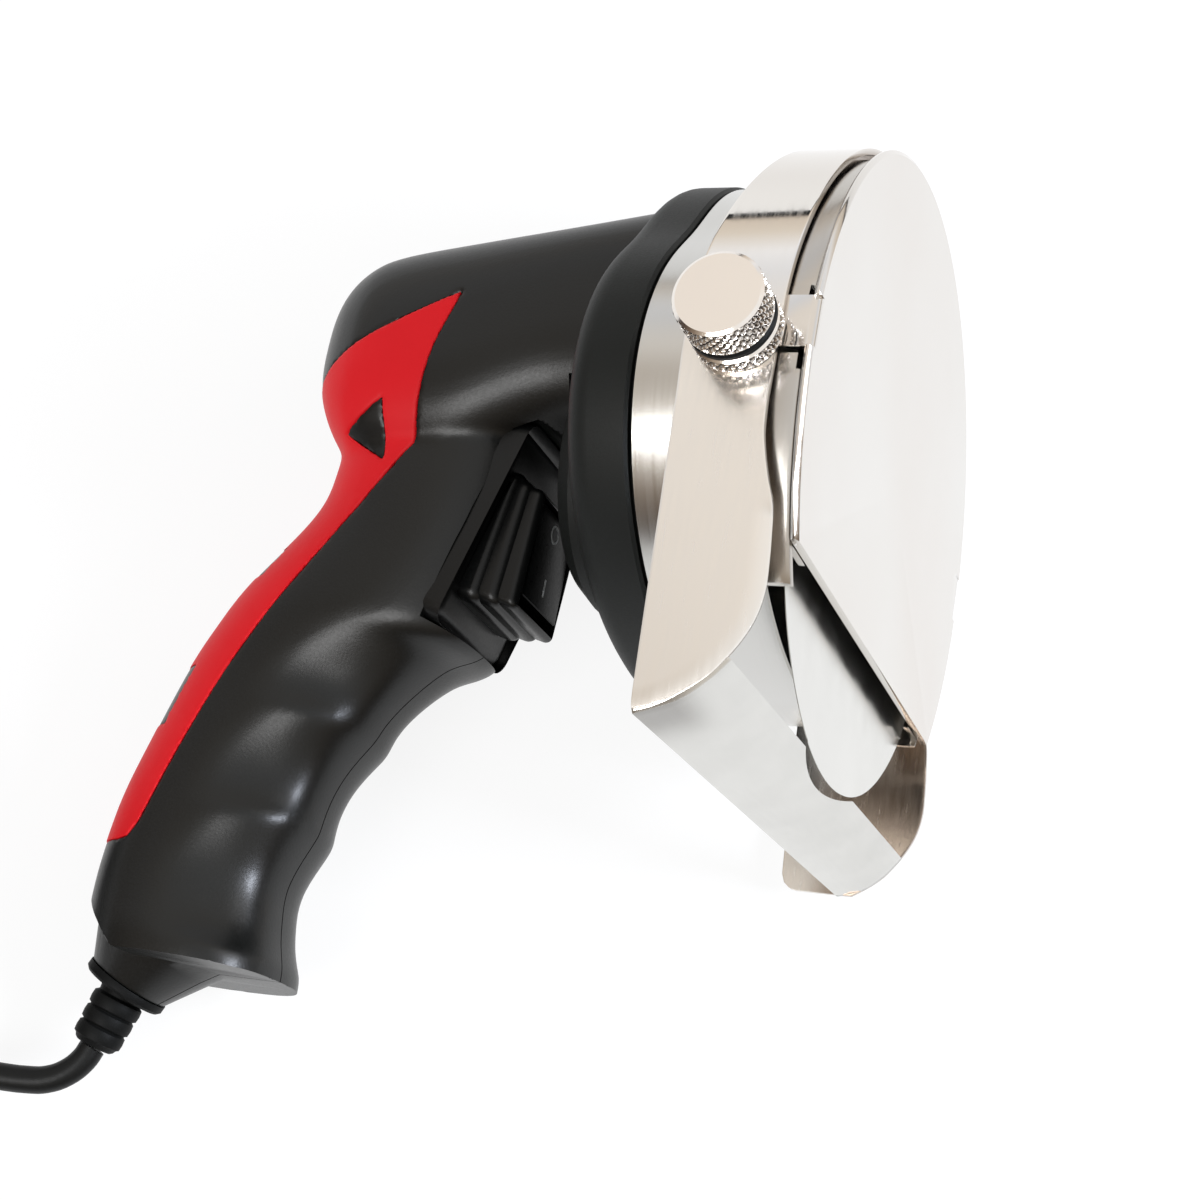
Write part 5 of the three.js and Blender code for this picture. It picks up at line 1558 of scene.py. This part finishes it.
def make_floor():
    """A pale floor that looks almost white and still takes a soft shadow."""
    deselect()
    bpy.ops.mesh.primitive_plane_add(size=FLOOR_SIZE)
    floor = bpy.context.object
    floor.name = "floor"
    finish = bpy.data.materials.new("pale_floor")
    finish.use_nodes = True
    tree = finish.node_tree
    shader = tree.nodes["Principled BSDF"]
    shader.inputs["Base Color"].default_value = FLOOR_GREY
    shader.inputs["Roughness"].default_value = 0.9
    shader.inputs["Specular IOR Level"].default_value = 0.1
    glow = add_node(tree, "ShaderNodeEmission", {"Color": WHITE, "Strength": 1})
    share = add_node(tree, "ShaderNodeMath", {0: seen_directly(tree), 1: FLOOR_GLOW}, operation="MULTIPLY")
    mix_shaders(
        tree, share.outputs["Value"], shader.outputs["BSDF"], glow.outputs["Emission"], "Material Output",
    )
    floor.data.materials.append(finish)


def make_lamp(name, place, size, power, colour):
    """A square lamp aimed at the tool."""
    data = bpy.data.lights.new(name, "AREA")
    data.shape = "RECTANGLE"
    data.size = size
    data.size_y = size
    data.energy = power
    data.color = colour
    lamp = bpy.data.objects.new(name, data)
    bpy.context.collection.objects.link(lamp)
    lamp.location = place
    lamp.rotation_mode = "QUATERNION"
    lamp.rotation_quaternion = (LAMP_AIM - Vector(place)).to_track_quat("-Z", "Y")


def add_wall(tree, height, stops):
    """Colours of a wall from the floor's edge to the ceiling."""
    wall = add_node(tree, "ShaderNodeValToRGB", {"Fac": height})
    ramp = wall.color_ramp.elements
    for end in (0, -1):
        ramp[end].position = stops[end][0]
        ramp[end].color = rgba(stops[end][1])
    for place, colour in stops[1:-1]:
        ramp.new(place).color = rgba(colour)
    return wall.outputs["Color"]


def make_world():
    """Even white light on the object, and a plain pale room for what bright metal mirrors."""
    world = bpy.data.worlds.new("surround")
    bpy.context.scene.world = world
    world.use_nodes = True
    tree = world.node_tree
    soft = tree.nodes["Background"]
    soft.inputs["Color"].default_value = WHITE
    soft.inputs["Strength"].default_value = SOFT_LIGHT
    direction = add_node(tree, "ShaderNodeTexCoord", {}).outputs["Generated"]
    parts = add_node(tree, "ShaderNodeSeparateXYZ", {"Vector": direction})
    height = add_range(tree, parts.outputs["Z"], 0, 1, WALL_LOW, 1)
    turn = add_node(
        tree, "ShaderNodeMapRange",
        {"Value": parts.outputs["Y"], "From Min": WALL_TURN[0], "From Max": WALL_TURN[1]},
        interpolation_type="SMOOTHSTEP",
    ).outputs["Result"]
    room = add_mix(tree, turn, add_wall(tree, height, NEAR_WALL), add_wall(tree, height, FAR_WALL))
    camera_ray = add_node(tree, "ShaderNodeLightPath", {}).outputs["Is Camera Ray"]
    view = add_mix(tree, camera_ray, room, WHITE)
    seen = add_node(tree, "ShaderNodeBackground", {"Color": view, "Strength": 1})
    mix_shaders(
        tree, seen_directly(tree), soft.outputs["Background"], seen.outputs["Background"], "World Output",
    )


# Add-on: sizes and colours that a user would change, operators and panel


def colour_property(name, description, colour):
    """A colour in the panel, with a hex value as its default."""
    return FloatVectorProperty(
        name=name, description=description, default=linear(colour), subtype="COLOR", min=0, max=1,
    )


class SlicerSizes(bpy.types.PropertyGroup):
    """Sizes of the slicer that a user would change"""

    blade_radius: FloatProperty(
        name="Blade radius", description="Radius of the round knife", default=0.05, unit="LENGTH",
    )
    knob_radius: FloatProperty(
        name="Knob radius", description="Radius of the clamp knob's head", default=0.0068, unit="LENGTH",
    )


class SlicerColours(bpy.types.PropertyGroup):
    """Colours of the two large plastic pieces, each with the two tints it drifts between"""

    housing_dark: colour_property("Housing", "Darker tint of the housing", "#070807")
    housing_pale: colour_property("Housing, pale", "Paler tint of the housing", "#0b0c0b")
    inlay_dark: colour_property("Inlay", "Darker tint of the grip's inlay", "#cc0d17")
    inlay_pale: colour_property("Inlay, pale", "Paler tint of the grip's inlay", "#d6131d")


class SLICER_OT_finishes(bpy.types.Operator):
    """Mix the materials, which every other step but the stage needs"""

    bl_idname = "slicer.finishes"
    bl_label = "Finishes"

    def execute(self, context):
        FINISHES.update(make_plastics(context.scene.slicer_colours))
        FINISHES.update(make_metals())
        return {"FINISHED"}


class SLICER_OT_stage(bpy.types.Operator):
    """Set up the camera, the floor, the lamps and the surround"""

    bl_idname = "slicer.stage"
    bl_label = "Stage"

    def execute(self, context):
        make_camera()
        make_floor()
        make_world()
        for lamp in LAMPS:
            make_lamp(*lamp)
        context.scene.view_settings.view_transform = "Standard"
        return {"FINISHED"}


class SLICER_OT_cord(bpy.types.Operator):
    """Lay the cord with its plug, strap and strain relief"""

    bl_idname = "slicer.cord"
    bl_label = "Cord"

    def execute(self, context):
        cord = make_cord()
        plug = make_plug()
        strap = make_tie()
        make_relief()
        return {"FINISHED"}


class SLICER_OT_housing(bpy.types.Operator):
    """Model the two housing halves and the red inlay"""

    bl_idname = "slicer.housing"
    bl_label = "Housing"

    def execute(self, context):
        make_housing()
        return {"FINISHED"}


class SLICER_OT_switch(bpy.types.Operator):
    """Model the switch frame, the rocker and its marks"""

    bl_idname = "slicer.switch"
    bl_label = "Switch"

    def execute(self, context):
        make_switch()
        make_marks()
        return {"FINISHED"}


class SLICER_OT_head(bpy.types.Operator):
    """Turn the collar and the head ring"""

    bl_idname = "slicer.head"
    bl_label = "Head"

    def execute(self, context):
        make_collar()
        make_head()
        return {"FINISHED"}


class SLICER_OT_cover(bpy.types.Operator):
    """Model the cover plate, its angle ring and the blade"""

    bl_idname = "slicer.cover"
    bl_label = "Cover and Blade"

    def execute(self, context):
        make_plate()
        make_skirt()
        make_blade(context.scene.slicer_sizes.blade_radius / MM)
        return {"FINISHED"}


class SLICER_OT_guide(bpy.types.Operator):
    """Model the thickness guide with its scoop"""

    bl_idname = "slicer.guide"
    bl_label = "Guide"

    def execute(self, context):
        make_guide()
        make_scoop()
        return {"FINISHED"}


class SLICER_OT_knob(bpy.types.Operator):
    """Model the knurled clamp knob"""

    bl_idname = "slicer.knob"
    bl_label = "Knob"

    def execute(self, context):
        make_knob(context.scene.slicer_sizes.knob_radius / MM)
        return {"FINISHED"}


class SLICER_OT_solids(bpy.types.Operator):
    """Give the solids that stay from the frame their finishes"""

    bl_idname = "slicer.solids"
    bl_label = "Kept Solids"

    def execute(self, context):
        dress_solids()
        return {"FINISHED"}


STEPS = (
    SLICER_OT_finishes,
    SLICER_OT_stage,
    SLICER_OT_cord,
    SLICER_OT_housing,
    SLICER_OT_switch,
    SLICER_OT_head,
    SLICER_OT_cover,
    SLICER_OT_guide,
    SLICER_OT_knob,
    SLICER_OT_solids,
)


class SLICER_PT_panel(bpy.types.Panel):
    """Lists the pieces of the slicer"""

    bl_idname = "SLICER_PT_panel"
    bl_label = "Kebab Slicer"
    bl_space_type = "VIEW_3D"
    bl_region_type = "UI"
    bl_category = "Slicer"

    def draw(self, context):
        for group in (context.scene.slicer_sizes, context.scene.slicer_colours):
            for name in group.bl_rna.properties.keys():
                if name not in {"name", "rna_type"}:
                    self.layout.prop(group, name)
        for step in STEPS:
            self.layout.operator(step.bl_idname)


CLASSES = (SlicerSizes, SlicerColours, *STEPS, SLICER_PT_panel)


def register():
    """Registers the classes and the scene's properties."""
    for each in CLASSES:
        bpy.utils.register_class(each)
    bpy.types.Scene.slicer_sizes = PointerProperty(type=SlicerSizes)
    bpy.types.Scene.slicer_colours = PointerProperty(type=SlicerColours)


def unregister():
    """Takes the properties and the classes away again."""
    del bpy.types.Scene.slicer_colours
    del bpy.types.Scene.slicer_sizes
    for each in reversed(CLASSES):
        bpy.utils.unregister_class(each)


def main():
    """Registers the classes and runs every step in order."""
    register()
    for step in STEPS:
        group, name = step.bl_idname.split(".")
        getattr(getattr(bpy.ops, group), name)()
    deselect()


if __name__ == "__main__":
    main()
